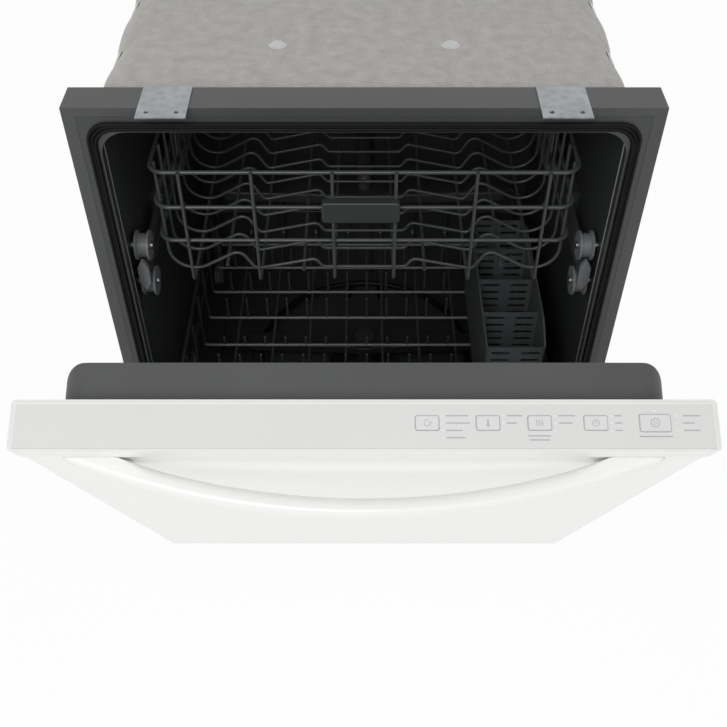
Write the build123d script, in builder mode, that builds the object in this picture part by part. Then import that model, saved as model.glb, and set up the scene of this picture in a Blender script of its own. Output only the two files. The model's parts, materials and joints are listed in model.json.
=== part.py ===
"""Built-in dishwasher with its door part open: tub, base, door, racks, spray arms and controls.

Millimetres, +Z up, +X to the right of a person facing the door, +Y into the machine.
The origin is on the floor, at the middle of the box that holds the machine as it stands.
Depths are counted from the front plane of the frame, and door sizes from the hinge axis.
"""
import math
import os

from build123d import *

os.makedirs("parts", exist_ok=True)

# Machine outside
FRAME_WIDTH = 606.0
MACHINE_HEIGHT = 862.0
MACHINE_DEPTH = 565.0
FRAME_FOOT = 236.0
FRAME_SHEET = 2.0
FRAME_RETURN = 40.0

# Running and seating clearances
RUNNING_FIT = 0.05
SEAT_GAP = 0.3
SIDE_PLAY = 1.0

# Tub
FRAME_BAND = 13.5
FRAME_HEAD = 10.0
FLANGE_WIDTH = FRAME_WIDTH - 2 * FRAME_BAND
FLANGE_TOP = MACHINE_HEIGHT - FRAME_HEAD
FLANGE_BAND = 19.0
FLANGE_HEAD = 18.0
OPENING_WIDTH = FLANGE_WIDTH - 2 * FLANGE_BAND
TUB_WALL = 4.0
TUB_CORNER = 28.0
TUB_UNDERCUT = 5.5
TUB_INNER_WIDTH = OPENING_WIDTH + 2 * TUB_UNDERCUT
TUB_BACK_ROOM = 37.0
TUB_INNER_DEPTH = MACHINE_DEPTH - TUB_BACK_ROOM
TUB_FLOOR = 208.0
TUB_CEILING = FLANGE_TOP - FLANGE_HEAD
LIP_SETBACK = 38.0
LEDGE_WIDTH = 36.0
DISH_BEAD = 12.0
DISH_RISE = 5.0
GASKET_WIDTH = 12.0
GASKET_THICKNESS = 4.0
GASKET_INSET = 1.5
BLANKET_THICKNESS = 10.0
BLANKET_FOOT = 244.0

# Base
BASE_SHEET = 2.5
BASE_FOOT = 25.0
BASE_FLANGE = 38.0
BASE_FRONT = 75.0
SHELF_FRONT = 120.0
CROSS_RAIL_DEPTH = 20.0
CROSS_RAIL_HEIGHT = 34.0
KICK_SETBACK = 70.0
KICK_SHEET = 2.0
KICK_BOTTOM = 8.0
KICK_HEIGHT = 87.0
FOOT_PAD_RADIUS = 16.0
FOOT_STEM_RADIUS = 5.0
FOOT_INSET_X = 20.0
FOOT_INSET_Y = 30.0
SCREW_HEAD_RADIUS = 4.5
SCREW_HEAD_HEIGHT = 2.5
SCREW_SHANK_RADIUS = 2.0
BRACKET_INSET = 103.0
BRACKET_X = FRAME_WIDTH / 2 - BRACKET_INSET
BRACKET_WIDTH = 50.0
BRACKET_SHEET = 1.5
BRACKET_REACH = 20.0
BRACKET_HOLE_RADIUS = 2.5
BRACKET_HOLE_SPACING = 30.0

# Door, measured from the hinge axis
DOOR_OPEN_ANGLE = 27.6
HINGE_HEIGHT = 206.0
HINGE_SETBACK = 15.0
HINGE_PIN_RADIUS = 4.0
HINGE_BOSS_RADIUS = 14.0
HINGE_ARM_SHEET = 3.0
HINGE_ARM_WIDTH = 30.0
HINGE_ARM_RISE = 230.0
HINGE_ARM_DROP = 75.0
SPRING_CUP_RADIUS = 17.0
SPRING_CUP_LENGTH = 7.0
DOOR_SIDE_GAP = 4.0
DOOR_WIDTH = FRAME_WIDTH - 2 * DOOR_SIDE_GAP
DOOR_BOTTOM = 115.0
DOOR_HEAD = 14.0
DOOR_LENGTH = MACHINE_HEIGHT - DOOR_HEAD - DOOR_BOTTOM
DOOR_PROUD = 48.0
DOOR_SHEET = 1.5
DOOR_RETURN = 35.0
DOOR_EDGE_RADIUS = 3.0
LINER_INSET = 9.0
LINER_WIDTH = DOOR_WIDTH - 2 * LINER_INSET
LINER_WALL = 2.0
LINER_GAP = 1.0
LINER_HEAD = 8.0
PLATEAU_PLAY = 4.5
PLATEAU_WIDTH = OPENING_WIDTH - 2 * PLATEAU_PLAY
PLATEAU_DEPTH = 36.0
PLATEAU_CORNER = 20.0
PLATEAU_HEAD_CORNER = 26.0
PLATEAU_DROP = 18.0
PLATEAU_FOOT = 30.0
HANDLE_INSET = 29.5
HANDLE_SPAN = DOOR_WIDTH - 2 * HANDLE_INSET
HANDLE_ROOT = 52.5
HANDLE_GAP_SPAN = HANDLE_SPAN - 2 * HANDLE_ROOT
HANDLE_PROUD = 52.0
HANDLE_GAP = 35.0
HANDLE_HEIGHT = 30.0
HANDLE_DROP = 43.0
HANDLE_ROUNDING = 6.0
HANDLE_END = 5.0

# Console along the door's top edge
CONSOLE_DEPTH = 41.0
CONSOLE_LIP = 3.4
CONSOLE_HEIGHT = 25.0
CONSOLE_WALL = 2.5
CONSOLE_EDGE_RADIUS = 4.0
OVERLAY_INSET = 2.0
OVERLAY_THICKNESS = 1.0
BUTTON_LENGTH = 20.0
START_LENGTH = 26.4
BUTTON_BREADTH = 12.8
START_BREADTH = 15.2
START_INSET = 54.0
START_X = DOOR_WIDTH / 2 - START_INSET
BUTTON_X = [START_X - distance for distance in (192.0, 140.8, 97.2, 50.0)]
BUTTON_PROUD = 0.6
BUTTON_TRAVEL = 0.5
BUTTON_FLANGE = 1.0
LIGHT_RADIUS = 1.0
LIGHT_STEP = 6.3
LIGHT_OFFSET = 13.0
BOARD_DROP = 18.0
BOARD_THICKNESS = 1.6
BOARD_LENGTH = 262.0
BOARD_BREADTH = 30.0
BOARD_POST_RADIUS = 3.0

# Pieces on the inner door
DISPENSER_WIDTH = 170.0
DISPENSER_HEIGHT = 110.0
DISPENSER_RISE = 330.0
DISPENSER_DEPTH = 24.0
DISPENSER_FACE = 2.0
CUP_WIDTH = 78.0
CUP_HEIGHT = 66.0
LID_THICKNESS = 3.0
LID_PIN_RADIUS = 1.5
LID_BARREL_RADIUS = 3.0
RINSE_CAP_RADIUS = 19.0
VENT_RADIUS = 40.0
VENT_INSET = 134.0
VENT_X = DOOR_WIDTH / 2 - VENT_INSET
VENT_DROP = 142.0
VENT_FACE = 3.0
VENT_SLATS = 5
LATCH_WIDTH = 40.0
LATCH_HEIGHT = 14.0
LATCH_DROP = 34.0
LATCH_PLATE = 2.0

# Upper rack and the rails that carry it
ROLLER_SETBACK = 54.0
ROLLER_LOWER = 590.5
ROLLER_SPACING = 55.0
ROLLER_UPPER = ROLLER_LOWER + ROLLER_SPACING
ROLLER_RADIUS = 18.0
ROLLER_GROOVE_RADIUS = 14.5
ROLLER_WIDTH = 17.0
ROLLER_GROOVE_WIDTH = 10.0
ROLLER_INSET = 5.0
ROLLER_PIN_RADIUS = 3.0
RACK_BACK_ROOM = 23.0
RAIL_BACK = TUB_INNER_DEPTH - RACK_BACK_ROOM
RAIL_SLOT_HEIGHT = 14.0
RAIL_SLOT_DEPTH = 5.0
RAIL_CAP_THICKNESS = 5.5
RAIL_CAP_HEIGHT = 48.0
RAIL_CAP_WIDTH = 13.0
RAIL_CAP_EDGE = 22.0
RAIL_CAP_CORNER = 2.0
GUIDE_SETBACK = 170.0
GUIDE_LENGTH = 30.0
GUIDE_PAD = 6.0
WIRE = 4.0
RIM_WIRE = 5.0
UPPER_SIDE_ROOM = 33.0
UPPER_HALF_WIDTH = TUB_INNER_WIDTH / 2 - UPPER_SIDE_ROOM
UPPER_FRONT = 57.0
UPPER_BACK = TUB_INNER_DEPTH - RACK_BACK_ROOM
RIM_LIFT = 53.0
UPPER_RIM = ROLLER_UPPER + RIM_LIFT
RIM_PITCH = 48.0
UPPER_SECOND_RIM = UPPER_RIM - RIM_PITCH
UPPER_TOP_RIM = UPPER_RIM + RIM_PITCH
FLOOR_DROP = 102.5
UPPER_FLOOR = UPPER_RIM - FLOOR_DROP
RACK_CORNER = 18.0
WIRE_BEND = 8.0
SIDE_BEND = 30.0
HUMP_BEND = 12.0
WAVE = ((51.0, 0.0), (60.0, 12.5), (134.0, -3.5), (152.0, 26.0))
WAVE_CORNER = -23.0
UPRIGHT_X = (36.0, 127.0)
SHELF_WIRE_X = (74.0, 167.0)
SHELF_WIRE_START = 61.0
CROSS_START = 74.0
CROSS_PITCH = 36.0
CROSS_COUNT = int((UPPER_BACK - CROSS_START) // CROSS_PITCH) + 1
RACK_HANDLE_X = -4.0
RACK_HANDLE_WIDTH = 89.0
RACK_HANDLE_HEIGHT = 28.0
RACK_HANDLE_LIFT = 17.0
RACK_HANDLE_THICKNESS = 10.0
HANGER_SHEET = 3.5
HANGER_FRONT = 245.0
HANGER_BACK_ROOM = 13.0
HANGER_BACK = UPPER_BACK - HANGER_BACK_ROOM
HANGER_TONGUE = 40.0

# Lower rack
LOWER_SIDE_ROOM = 27.0
LOWER_HALF_WIDTH = TUB_INNER_WIDTH / 2 - LOWER_SIDE_ROOM
LOWER_FRONT = 72.0
LOWER_BACK_ROOM = 20.0
LOWER_BACK = TUB_INNER_DEPTH - LOWER_BACK_ROOM
LOWER_FLOOR = 308.0
LOWER_SECOND_RISE = 47.0
LOWER_SECOND_RIM = LOWER_FLOOR + LOWER_SECOND_RISE
LOWER_RIM_RISE = 97.0
LOWER_RIM = LOWER_FLOOR + LOWER_RIM_RISE
LOWER_WIRE = 4.5
LOWER_BEND = 6.0
LOWER_CROSS_START = 103.0
LOWER_CROSS_PITCH = 62.0
LOWER_CROSS_COUNT = int((LOWER_BACK - LOWER_CROSS_START) // LOWER_CROSS_PITCH) + 1
LOWER_LONG_PITCH = 57.0
LOWER_LONG_COUNT = 8
TINE_RADIUS = 1.8
TINE_PITCH = 31.6
TINE_HEIGHT = 40.0
TINE_SHORT = 16.0
TINE_SIDE_ROOM = 31.8
TINE_REACH = LOWER_HALF_WIDTH - TINE_SIDE_ROOM
WHEEL_RADIUS = 18.0
WHEEL_WIDTH = 11.0
AXLE_RADIUS = 4.0
WHEEL_BRACKET_SHEET = 3.5
WHEEL_BRACKET_WIDTH = 24.0

# Silverware basket
BASKET_SIDE_ROOM = 3.0
BASKET_WIDTH = 81.0
BASKET_LEFT = LOWER_HALF_WIDTH - BASKET_SIDE_ROOM - BASKET_WIDTH
BASKET_FRONT = 76.0
BASKET_LENGTH = 282.5
BASKET_RISE = 162.0
BASKET_TOP = LOWER_FLOOR + BASKET_RISE
BASKET_WALL = 2.5
BASKET_EASE = 3.5
BASKET_CELLS = 4
DIVIDER_DROP = 20.0
SLOT_WIDTH = 6.0
GRILLE_SLOT = 26.0
GRILLE_SPREAD = 41.0
GRILLE_PITCH = 13.3
GRILLE_ROWS = 8
GRILLE_DROP = 10.0
FLOOR_SLOT = 50.0
FLOOR_SLOTS = 3

# Water path
SUMP_OFFSET = 21.0
SUMP_SETBACK = TUB_INNER_DEPTH / 2 + SUMP_OFFSET
SUMP_RADIUS = 80.0
SUMP_WALL = 4.0
SUMP_BOTTOM = 140.0
SUMP_HOLE_RADIUS = 62.0
TOWER_RADIUS = 12.0
FILTER_FLANGE = 68.0
FILTER_WALL = 2.5
ARM_TIP_ROOM = 24.0
LOWER_ARM_RADIUS = TUB_INNER_DEPTH - SUMP_SETBACK - ARM_TIP_ROOM
LOWER_ARM_BASE = 252.0
UPPER_ARM_CUT = 14.0
UPPER_ARM_RADIUS = LOWER_ARM_RADIUS - UPPER_ARM_CUT
ARM_WIDTH = 44.0
ARM_TIP_WIDTH = 26.0
ARM_HEIGHT = 14.0
ARM_HUB_RADIUS = 26.0
JET_RADIUS = 1.5
JET_COUNT = 6
CAP_HEIGHT = 6.0
CAP_OVERHANG = 5.0
FEED_RADIUS = 11.0
STEM_RADIUS = 9.0
FEED_PIPE_WIDTH = 24.0
FEED_PIPE_DEPTH = 14.0
SPRINKLER_RADIUS = 30.0
SPRINKLER_HEIGHT = 10.0
DISH_INSET = 25.0
DISH_RADIUS = LOWER_ARM_RADIUS - DISH_INSET
HEATER_INSET = 25.0
HEATER_RADIUS = DISH_RADIUS - HEATER_INSET
HEATER_ROD = 4.2
HEATER_RISE = 30.0
HEATER_LEG_X = 26.0
HEATER_LEG_DEPTH = SUMP_SETBACK + math.sqrt(HEATER_RADIUS ** 2 - HEATER_LEG_X ** 2)
WASH_PUMP_RADIUS = 42.0
WASH_PUMP_LENGTH = 150.0
PUMP_NECK_RADIUS = 16.0
DRAIN_PUMP_RADIUS = 30.0
DRAIN_PUMP_LENGTH = 90.0
DRAIN_PORT_RADIUS = 10.0
DRAIN_PORT_LENGTH = 75.0
DRAIN_COLLAR = 4.0
DRAIN_COLLAR_REACH = 2.0
BOX_SETBACK = 150.0
BOX_DEPTH = 60.0
BOX_HEIGHT = 50.0
BOX_BOTTOM = 60.0
BOX_REACH = 85.0
BOX_WALL = 2.0
KNOCKOUT_RADIUS = 11.0
INLET_RADIUS = 8.2
INLET_LENGTH = 18.0
PORT_INSET = 20.0

# Door frame of reference and the place of the front plane
OPEN = math.radians(DOOR_OPEN_ANGLE)
FACE_OUT = DOOR_PROUD + HINGE_SETBACK
DOOR_TOP = DOOR_BOTTOM + DOOR_LENGTH - HINGE_HEIGHT
DOOR_FOOT = DOOR_BOTTOM - HINGE_HEIGHT
HANDLE_TOP = DOOR_TOP - HANDLE_DROP
FRONT_REACH = (FACE_OUT + HANDLE_PROUD) * math.cos(OPEN) + HANDLE_TOP * math.sin(OPEN) - HINGE_SETBACK
FRONT_Y = (FRONT_REACH - MACHINE_DEPTH) / 2
HINGE = (0, FRONT_Y + HINGE_SETBACK, HINGE_HEIGHT)
INWARD = Vector(0, math.cos(OPEN), math.sin(OPEN))
UPWARD = Vector(0, -math.sin(OPEN), math.cos(OPEN))
door_plan = Plane(origin=HINGE, x_dir=(1, 0, 0), z_dir=UPWARD)
door_front = Plane(origin=HINGE, x_dir=(1, 0, 0), z_dir=-INWARD)
door_side = Plane(origin=HINGE, x_dir=INWARD, z_dir=(1, 0, 0))
machine = Plane(origin=(0, FRONT_Y, 0), x_dir=(1, 0, 0), z_dir=(0, 0, 1))
machine_front = Plane(origin=(0, FRONT_Y, 0), x_dir=(1, 0, 0), z_dir=(0, -1, 0))
machine_side = Plane(origin=(0, FRONT_Y, 0), x_dir=(0, 1, 0), z_dir=(1, 0, 0))
SIDES = (-1, 1)


def at(x, depth, height):
    """A point of the machine, with its depth counted from the front plane."""
    return Vector(x, FRONT_Y + depth, height)


def block(x, y, z, mode=Mode.ADD):
    """A box between two bounds along each axis of the workplane in use."""
    with Locations((sum(x) / 2, sum(y) / 2, sum(z) / 2)):
        Box(abs(x[1] - x[0]), abs(y[1] - y[0]), abs(z[1] - z[0]), mode=mode)


def turned(origin, direction, outline):
    """A round piece turned about an axis, from (distance along, radius) points."""
    axis = Vector(*direction)
    across = (0, 0, 1) if abs(axis.Z) < 0.5 else (0, 1, 0)
    plane = Plane(origin=origin, x_dir=axis, z_dir=across)
    with BuildPart() as piece:
        with BuildSketch(plane):
            with BuildLine():
                Polyline(*outline, close=True)
            make_face()
        revolve(axis=Axis(origin, axis))
    return piece.part


def wire(points, diameter, bend):
    """A round wire along straight runs, with one bend radius or one for each corner."""
    with BuildPart() as piece:
        with BuildLine() as path:
            FilletPolyline(*points, radius=bend)
        with BuildSketch(Plane(origin=path.line @ 0, z_dir=path.line % 0)):
            Circle(diameter / 2)
        sweep(path=path.line)
    return piece.part


def rim_loop(half_width, front, back, height):
    """A closed rim of a rack: two bent halves of thick wire that meet at the front and at the back."""
    with BuildPart() as piece:
        for side in SIDES:
            with BuildLine() as path:
                FilletPolyline(
                    at(0, front, height),
                    at(side * half_width, front, height),
                    at(side * half_width, back, height),
                    at(0, back, height),
                    radius=RACK_CORNER,
                )
            with BuildSketch(Plane(origin=path.line @ 0, z_dir=path.line % 0)):
                Circle(RIM_WIRE / 2)
            sweep(path=path.line)
    return piece.part


def save(name, piece):
    """Label one finished piece and write it."""
    piece.label = name
    export_step(piece, f"parts/{name}.step")


def save_group(name, pieces):
    """Write separate solids of one kind as one node."""
    save(name, Compound(children=pieces))


# Tub: one moulding, open at the front, with wheel ledges, a front lip and a flange for the seal
HALF_INNER = TUB_INNER_WIDTH / 2
HALF_OUTER = HALF_INNER + TUB_WALL
TUB_MID = (TUB_FLOOR + TUB_CEILING) / 2
TUB_INNER_HEIGHT = TUB_CEILING - TUB_FLOOR
TUB_BACK = TUB_INNER_DEPTH + TUB_WALL
LEDGE_TOP = HINGE_HEIGHT - FACE_OUT + CONSOLE_DEPTH + LINER_WALL + PLATEAU_DEPTH
OPENING_TOP = TUB_CEILING

with BuildPart(machine) as tub:
    with BuildSketch(machine_front):
        with Locations((0, TUB_MID)):
            RectangleRounded(2 * HALF_OUTER, TUB_INNER_HEIGHT + 2 * TUB_WALL, TUB_CORNER + TUB_WALL)
    extrude(amount=-TUB_BACK)
    with BuildSketch(machine_front):
        with Locations((0, TUB_MID)):
            RectangleRounded(TUB_INNER_WIDTH, TUB_INNER_HEIGHT, TUB_CORNER)
    extrude(amount=-TUB_INNER_DEPTH, mode=Mode.SUBTRACT)
    block((-FLANGE_WIDTH / 2, FLANGE_WIDTH / 2), (0, TUB_WALL), (FRAME_FOOT, FLANGE_TOP))
    with BuildSketch(machine_front):
        with Locations((0, TUB_MID)):
            RectangleRounded(OPENING_WIDTH, TUB_INNER_HEIGHT, TUB_CORNER)
    extrude(amount=-TUB_WALL, mode=Mode.SUBTRACT)
    block((-HALF_OUTER, HALF_OUTER), (0, LIP_SETBACK), (TUB_FLOOR - TUB_WALL, FRAME_FOOT), Mode.SUBTRACT)
    block((-HALF_INNER, HALF_INNER), (LIP_SETBACK, LIP_SETBACK + TUB_WALL), (TUB_FLOOR, LEDGE_TOP))
    for side in SIDES:
        ledge = (side * (HALF_INNER - LEDGE_WIDTH), side * HALF_INNER)
        block(ledge, (LIP_SETBACK, TUB_INNER_DEPTH), (TUB_FLOOR, LEDGE_TOP))
    with BuildSketch(machine.offset(TUB_FLOOR)):
        with Locations((0, SUMP_SETBACK)):
            Circle(DISH_RADIUS + DISH_BEAD / 2)
            Circle(DISH_RADIUS - DISH_BEAD / 2, mode=Mode.SUBTRACT)
    extrude(amount=DISH_RISE)
    with BuildSketch(machine.offset(TUB_FLOOR)):
        with Locations((0, SUMP_SETBACK)):
            Circle(SUMP_HOLE_RADIUS)
        with Locations((-HEATER_LEG_X, HEATER_LEG_DEPTH), (HEATER_LEG_X, HEATER_LEG_DEPTH)):
            Circle(HEATER_ROD + SEAT_GAP)
    extrude(amount=-TUB_WALL, mode=Mode.SUBTRACT)
save("tub", tub.part)

# Door seal: a rubber strip round the sides and top of the opening, and one along the lip
SEAL_INNER = OPENING_WIDTH / 2 + GASKET_INSET
SEAL_TOP = OPENING_TOP + GASKET_INSET + GASKET_WIDTH

with BuildPart() as seal:
    with BuildSketch(machine_front):
        with Locations((0, (FRAME_FOOT + SEAL_TOP) / 2)):
            Rectangle(2 * (SEAL_INNER + GASKET_WIDTH), SEAL_TOP - FRAME_FOOT)
        with Locations((0, (FRAME_FOOT + SEAL_TOP) / 2 - GASKET_WIDTH)):
            Rectangle(2 * SEAL_INNER, SEAL_TOP - FRAME_FOOT, mode=Mode.SUBTRACT)
    extrude(amount=GASKET_THICKNESS)

with BuildPart(machine) as lip_seal:
    block((-PLATEAU_WIDTH / 2, PLATEAU_WIDTH / 2), (LIP_SETBACK - GASKET_THICKNESS, LIP_SETBACK),
          (LEDGE_TOP - GASKET_WIDTH, LEDGE_TOP))
save_group("tub_gasket", [seal.part, lip_seal.part])

# Front frame: a folded steel arch round the tub flange
with BuildPart(machine) as front_frame:
    for side in SIDES:
        outer = side * FRAME_WIDTH / 2
        block((side * (FLANGE_WIDTH / 2 + SEAT_GAP), outer), (0, FRAME_SHEET), (FRAME_FOOT, MACHINE_HEIGHT))
        block((outer - side * FRAME_SHEET, outer), (0, FRAME_RETURN), (FRAME_FOOT, MACHINE_HEIGHT))
    block((-FRAME_WIDTH / 2, FRAME_WIDTH / 2), (0, FRAME_SHEET), (FLANGE_TOP + SEAT_GAP, MACHINE_HEIGHT))
    block((-FRAME_WIDTH / 2, FRAME_WIDTH / 2), (0, FRAME_RETURN), (MACHINE_HEIGHT - FRAME_SHEET, MACHINE_HEIGHT))
save("front_frame", front_frame.part)

# Sound blanket: felt over the tub's sides, top and back
BLANKET_FRONT = FRAME_RETURN + SIDE_PLAY
BLANKET_OUTER = HALF_OUTER + BLANKET_THICKNESS
BLANKET_TOP = TUB_CEILING + TUB_WALL + BLANKET_THICKNESS
BLANKET_HEIGHT = TUB_INNER_HEIGHT + 2 * TUB_WALL + 2 * BLANKET_THICKNESS

with BuildPart(machine) as blanket:
    with BuildSketch(machine_front.offset(-BLANKET_FRONT)):
        with Locations((0, TUB_MID)):
            RectangleRounded(2 * BLANKET_OUTER, BLANKET_HEIGHT, TUB_CORNER + TUB_WALL + BLANKET_THICKNESS)
    extrude(amount=-(TUB_BACK + BLANKET_THICKNESS - BLANKET_FRONT))
    with BuildSketch(machine_front.offset(-BLANKET_FRONT)):
        with Locations((0, TUB_MID)):
            RectangleRounded(2 * HALF_OUTER, TUB_INNER_HEIGHT + 2 * TUB_WALL, TUB_CORNER + TUB_WALL)
    extrude(amount=-(TUB_BACK - BLANKET_FRONT), mode=Mode.SUBTRACT)
    block((-BLANKET_OUTER, BLANKET_OUTER), (0, MACHINE_DEPTH), (0, BLANKET_FOOT), Mode.SUBTRACT)
save("insulation_blanket", blanket.part)

# Base: a folded steel side each, which carries the tub and the hinge, and two cross rails
BASE_OUTER = FRAME_WIDTH / 2
BASE_INNER = BASE_OUTER - BASE_SHEET
SHELF_TOP = TUB_FLOOR - TUB_WALL
FOOT_X = BASE_OUTER - FOOT_INSET_X
FOOT_DEPTHS = (BASE_FRONT + FOOT_INSET_Y, MACHINE_DEPTH - FOOT_INSET_Y)
RAIL_FRONT_DEPTHS = (KICK_SETBACK + KICK_SHEET, KICK_SETBACK + KICK_SHEET + CROSS_RAIL_DEPTH)
RAIL_BACK_DEPTHS = (MACHINE_DEPTH - CROSS_RAIL_DEPTH, MACHINE_DEPTH)


def base_side(side):
    """One side of the base: a plate with a foot flange below and a shelf under the tub."""
    with BuildPart(machine) as piece:
        with BuildSketch(machine_side.offset(side * BASE_INNER)):
            with BuildLine():
                Polyline(
                    (0, FRAME_FOOT),
                    (MACHINE_DEPTH, FRAME_FOOT),
                    (MACHINE_DEPTH, BASE_FOOT),
                    (BASE_FRONT, BASE_FOOT),
                    (BASE_FRONT, KICK_BOTTOM + KICK_HEIGHT),
                    (0, HINGE_HEIGHT - HINGE_BOSS_RADIUS),
                    close=True,
                )
            make_face()
        extrude(amount=side * BASE_SHEET)
        inner = side * BASE_INNER
        block((inner - side * BASE_FLANGE, inner), (BASE_FRONT, MACHINE_DEPTH), (BASE_FOOT, BASE_FOOT + BASE_SHEET))
        block((inner - side * BASE_FLANGE, inner), (SHELF_FRONT, TUB_BACK), (SHELF_TOP - BASE_SHEET, SHELF_TOP))
        with BuildSketch(machine.offset(BASE_FOOT)):
            with Locations(*[(side * FOOT_X, depth) for depth in FOOT_DEPTHS]):
                Circle(FOOT_STEM_RADIUS + SEAT_GAP)
        extrude(amount=BASE_SHEET, mode=Mode.SUBTRACT)
    return piece.part


def cross_rail(depths):
    """A folded channel across the base, standing on both foot flanges."""
    low = BASE_FOOT + BASE_SHEET
    with BuildPart(machine) as piece:
        block((-BASE_INNER, BASE_INNER), depths, (low, low + CROSS_RAIL_HEIGHT))
        block((-BASE_INNER, BASE_INNER), (depths[0] + BASE_SHEET, depths[1] - BASE_SHEET),
              (low, low + CROSS_RAIL_HEIGHT - BASE_SHEET), Mode.SUBTRACT)
        with Locations(*[(x, depths[0], KICK_SCREW_HEIGHT) for x in KICK_SCREW_X]):
            Cylinder(SCREW_SHANK_RADIUS + RUNNING_FIT, 4 * BASE_SHEET, rotation=(90, 0, 0), mode=Mode.SUBTRACT)
    return piece.part


KICK_SCREW_X = (-BRACKET_X, BRACKET_X)
KICK_SCREW_HEIGHT = BASE_FOOT + BASE_SHEET + CROSS_RAIL_HEIGHT / 2
save_group("base_frame", [base_side(-1), base_side(1), cross_rail(RAIL_FRONT_DEPTHS), cross_rail(RAIL_BACK_DEPTHS)])

# Levelling feet: a pad, a stem through the flange and a lock nut under it
FOOT_OUTLINE = (
    (0, 0),
    (0, FOOT_PAD_RADIUS),
    (5, FOOT_PAD_RADIUS),
    (9, FOOT_STEM_RADIUS),
    (BASE_FOOT - 8, FOOT_STEM_RADIUS),
    (BASE_FOOT - 8, 2 * FOOT_STEM_RADIUS),
    (BASE_FOOT, 2 * FOOT_STEM_RADIUS),
    (BASE_FOOT, FOOT_STEM_RADIUS),
    (2 * BASE_FOOT, FOOT_STEM_RADIUS),
    (2 * BASE_FOOT, 0),
)
feet = [turned(at(side * FOOT_X, depth, 0), (0, 0, 1), FOOT_OUTLINE) for side in SIDES for depth in FOOT_DEPTHS]
save_group("levelling_feet", feet)

# Toe kick: a plate in front of the base, held by two screws
with BuildPart(machine) as toe_kick:
    block((-BASE_INNER, BASE_INNER), (KICK_SETBACK, KICK_SETBACK + KICK_SHEET), (KICK_BOTTOM, KICK_BOTTOM + KICK_HEIGHT))
    with Locations(*[(x, KICK_SETBACK, KICK_SCREW_HEIGHT) for x in KICK_SCREW_X]):
        Cylinder(SCREW_SHANK_RADIUS + RUNNING_FIT, 4 * KICK_SHEET, rotation=(90, 0, 0), mode=Mode.SUBTRACT)
save("toe_kick", toe_kick.part)


def screw_outline(length):
    """A pan-head screw from the top of its head to its tip."""
    return (
        (-SCREW_HEAD_HEIGHT, 0),
        (-SCREW_HEAD_HEIGHT, SCREW_HEAD_RADIUS - 1),
        (-SCREW_HEAD_HEIGHT + 1, SCREW_HEAD_RADIUS),
        (0, SCREW_HEAD_RADIUS),
        (0, SCREW_SHANK_RADIUS),
        (length, SCREW_SHANK_RADIUS),
        (length, 0),
    )


kick_screws = [turned(at(x, KICK_SETBACK, KICK_SCREW_HEIGHT), (0, 1, 0), screw_outline(KICK_SHEET + BASE_SHEET))
               for x in KICK_SCREW_X]
save_group("kick_screws", kick_screws)

# Counter brackets: flat steel tabs on the frame's top, with two screw holes each
BRACKET_HOLE_DEPTH = -BRACKET_REACH / 2


def counter_bracket(side):
    """One tab that reaches forward of the frame, to be screwed to the underside of a counter."""
    with BuildPart(machine) as piece:
        centre = side * BRACKET_X
        block((centre - BRACKET_WIDTH / 2, centre + BRACKET_WIDTH / 2), (-BRACKET_REACH, FRAME_RETURN),
              (MACHINE_HEIGHT, MACHINE_HEIGHT + BRACKET_SHEET))
        with Locations((centre, BRACKET_HOLE_DEPTH, MACHINE_HEIGHT)):
            with GridLocations(BRACKET_HOLE_SPACING, 1, 2, 1):
                Cylinder(BRACKET_HOLE_RADIUS, 4 * BRACKET_SHEET, mode=Mode.SUBTRACT)
    return piece.part


save_group("counter_brackets", [counter_bracket(-1), counter_bracket(1)])

# Hinge pins on the base sides, each with the cup of its counterbalance spring
ARM_OUTER = DOOR_WIDTH / 2 - DOOR_SHEET
ARM_INNER = ARM_OUTER - HINGE_ARM_SHEET
CUP_OUTER = ARM_INNER - SIDE_PLAY
CUP_INNER = CUP_OUTER - SPRING_CUP_LENGTH
PIN_LENGTH = BASE_INNER - CUP_INNER

hinge_pins = []
spring_cups = []
for side in SIDES:
    pin_outline = ((0, 0), (0, HINGE_PIN_RADIUS), (PIN_LENGTH, HINGE_PIN_RADIUS), (PIN_LENGTH, 0))
    hinge_pins.append(turned(at(side * BASE_INNER, HINGE_SETBACK, HINGE_HEIGHT), (-side, 0, 0), pin_outline))
    cup_outline = (
        (0, HINGE_PIN_RADIUS + RUNNING_FIT),
        (0, SPRING_CUP_RADIUS),
        (SPRING_CUP_LENGTH, SPRING_CUP_RADIUS),
        (SPRING_CUP_LENGTH, HINGE_PIN_RADIUS + RUNNING_FIT),
    )
    spring_cups.append(turned(at(side * CUP_OUTER, HINGE_SETBACK, HINGE_HEIGHT), (-side, 0, 0), cup_outline))
save_group("hinge_pins", hinge_pins)
save_group("hinge_spring_cups", spring_cups)

# Door panel: a painted steel pan, bent back along its sides and bottom
PANEL_TOP = DOOR_TOP - CONSOLE_HEIGHT
PANEL_LENGTH = PANEL_TOP - DOOR_FOOT
PANEL_MID = (PANEL_TOP + DOOR_FOOT) / 2

with BuildPart() as door_panel:
    with BuildSketch(door_front.offset(FACE_OUT)):
        with Locations((0, PANEL_MID)):
            Rectangle(DOOR_WIDTH, PANEL_LENGTH)
    extrude(amount=-DOOR_RETURN)
    with BuildSketch(door_front.offset(FACE_OUT - DOOR_SHEET)):
        with Locations((0, PANEL_MID)):
            Rectangle(DOOR_WIDTH - 2 * DOOR_SHEET, PANEL_LENGTH - 2 * DOOR_SHEET)
    extrude(amount=-DOOR_RETURN, mode=Mode.SUBTRACT)
    long_edges = door_panel.edges().filter_by(Axis(HINGE, UPWARD)).sort_by(Axis(HINGE, -INWARD))[-2:]
    fillet(long_edges, DOOR_EDGE_RADIUS)
save("door_panel", door_panel.part)

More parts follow.
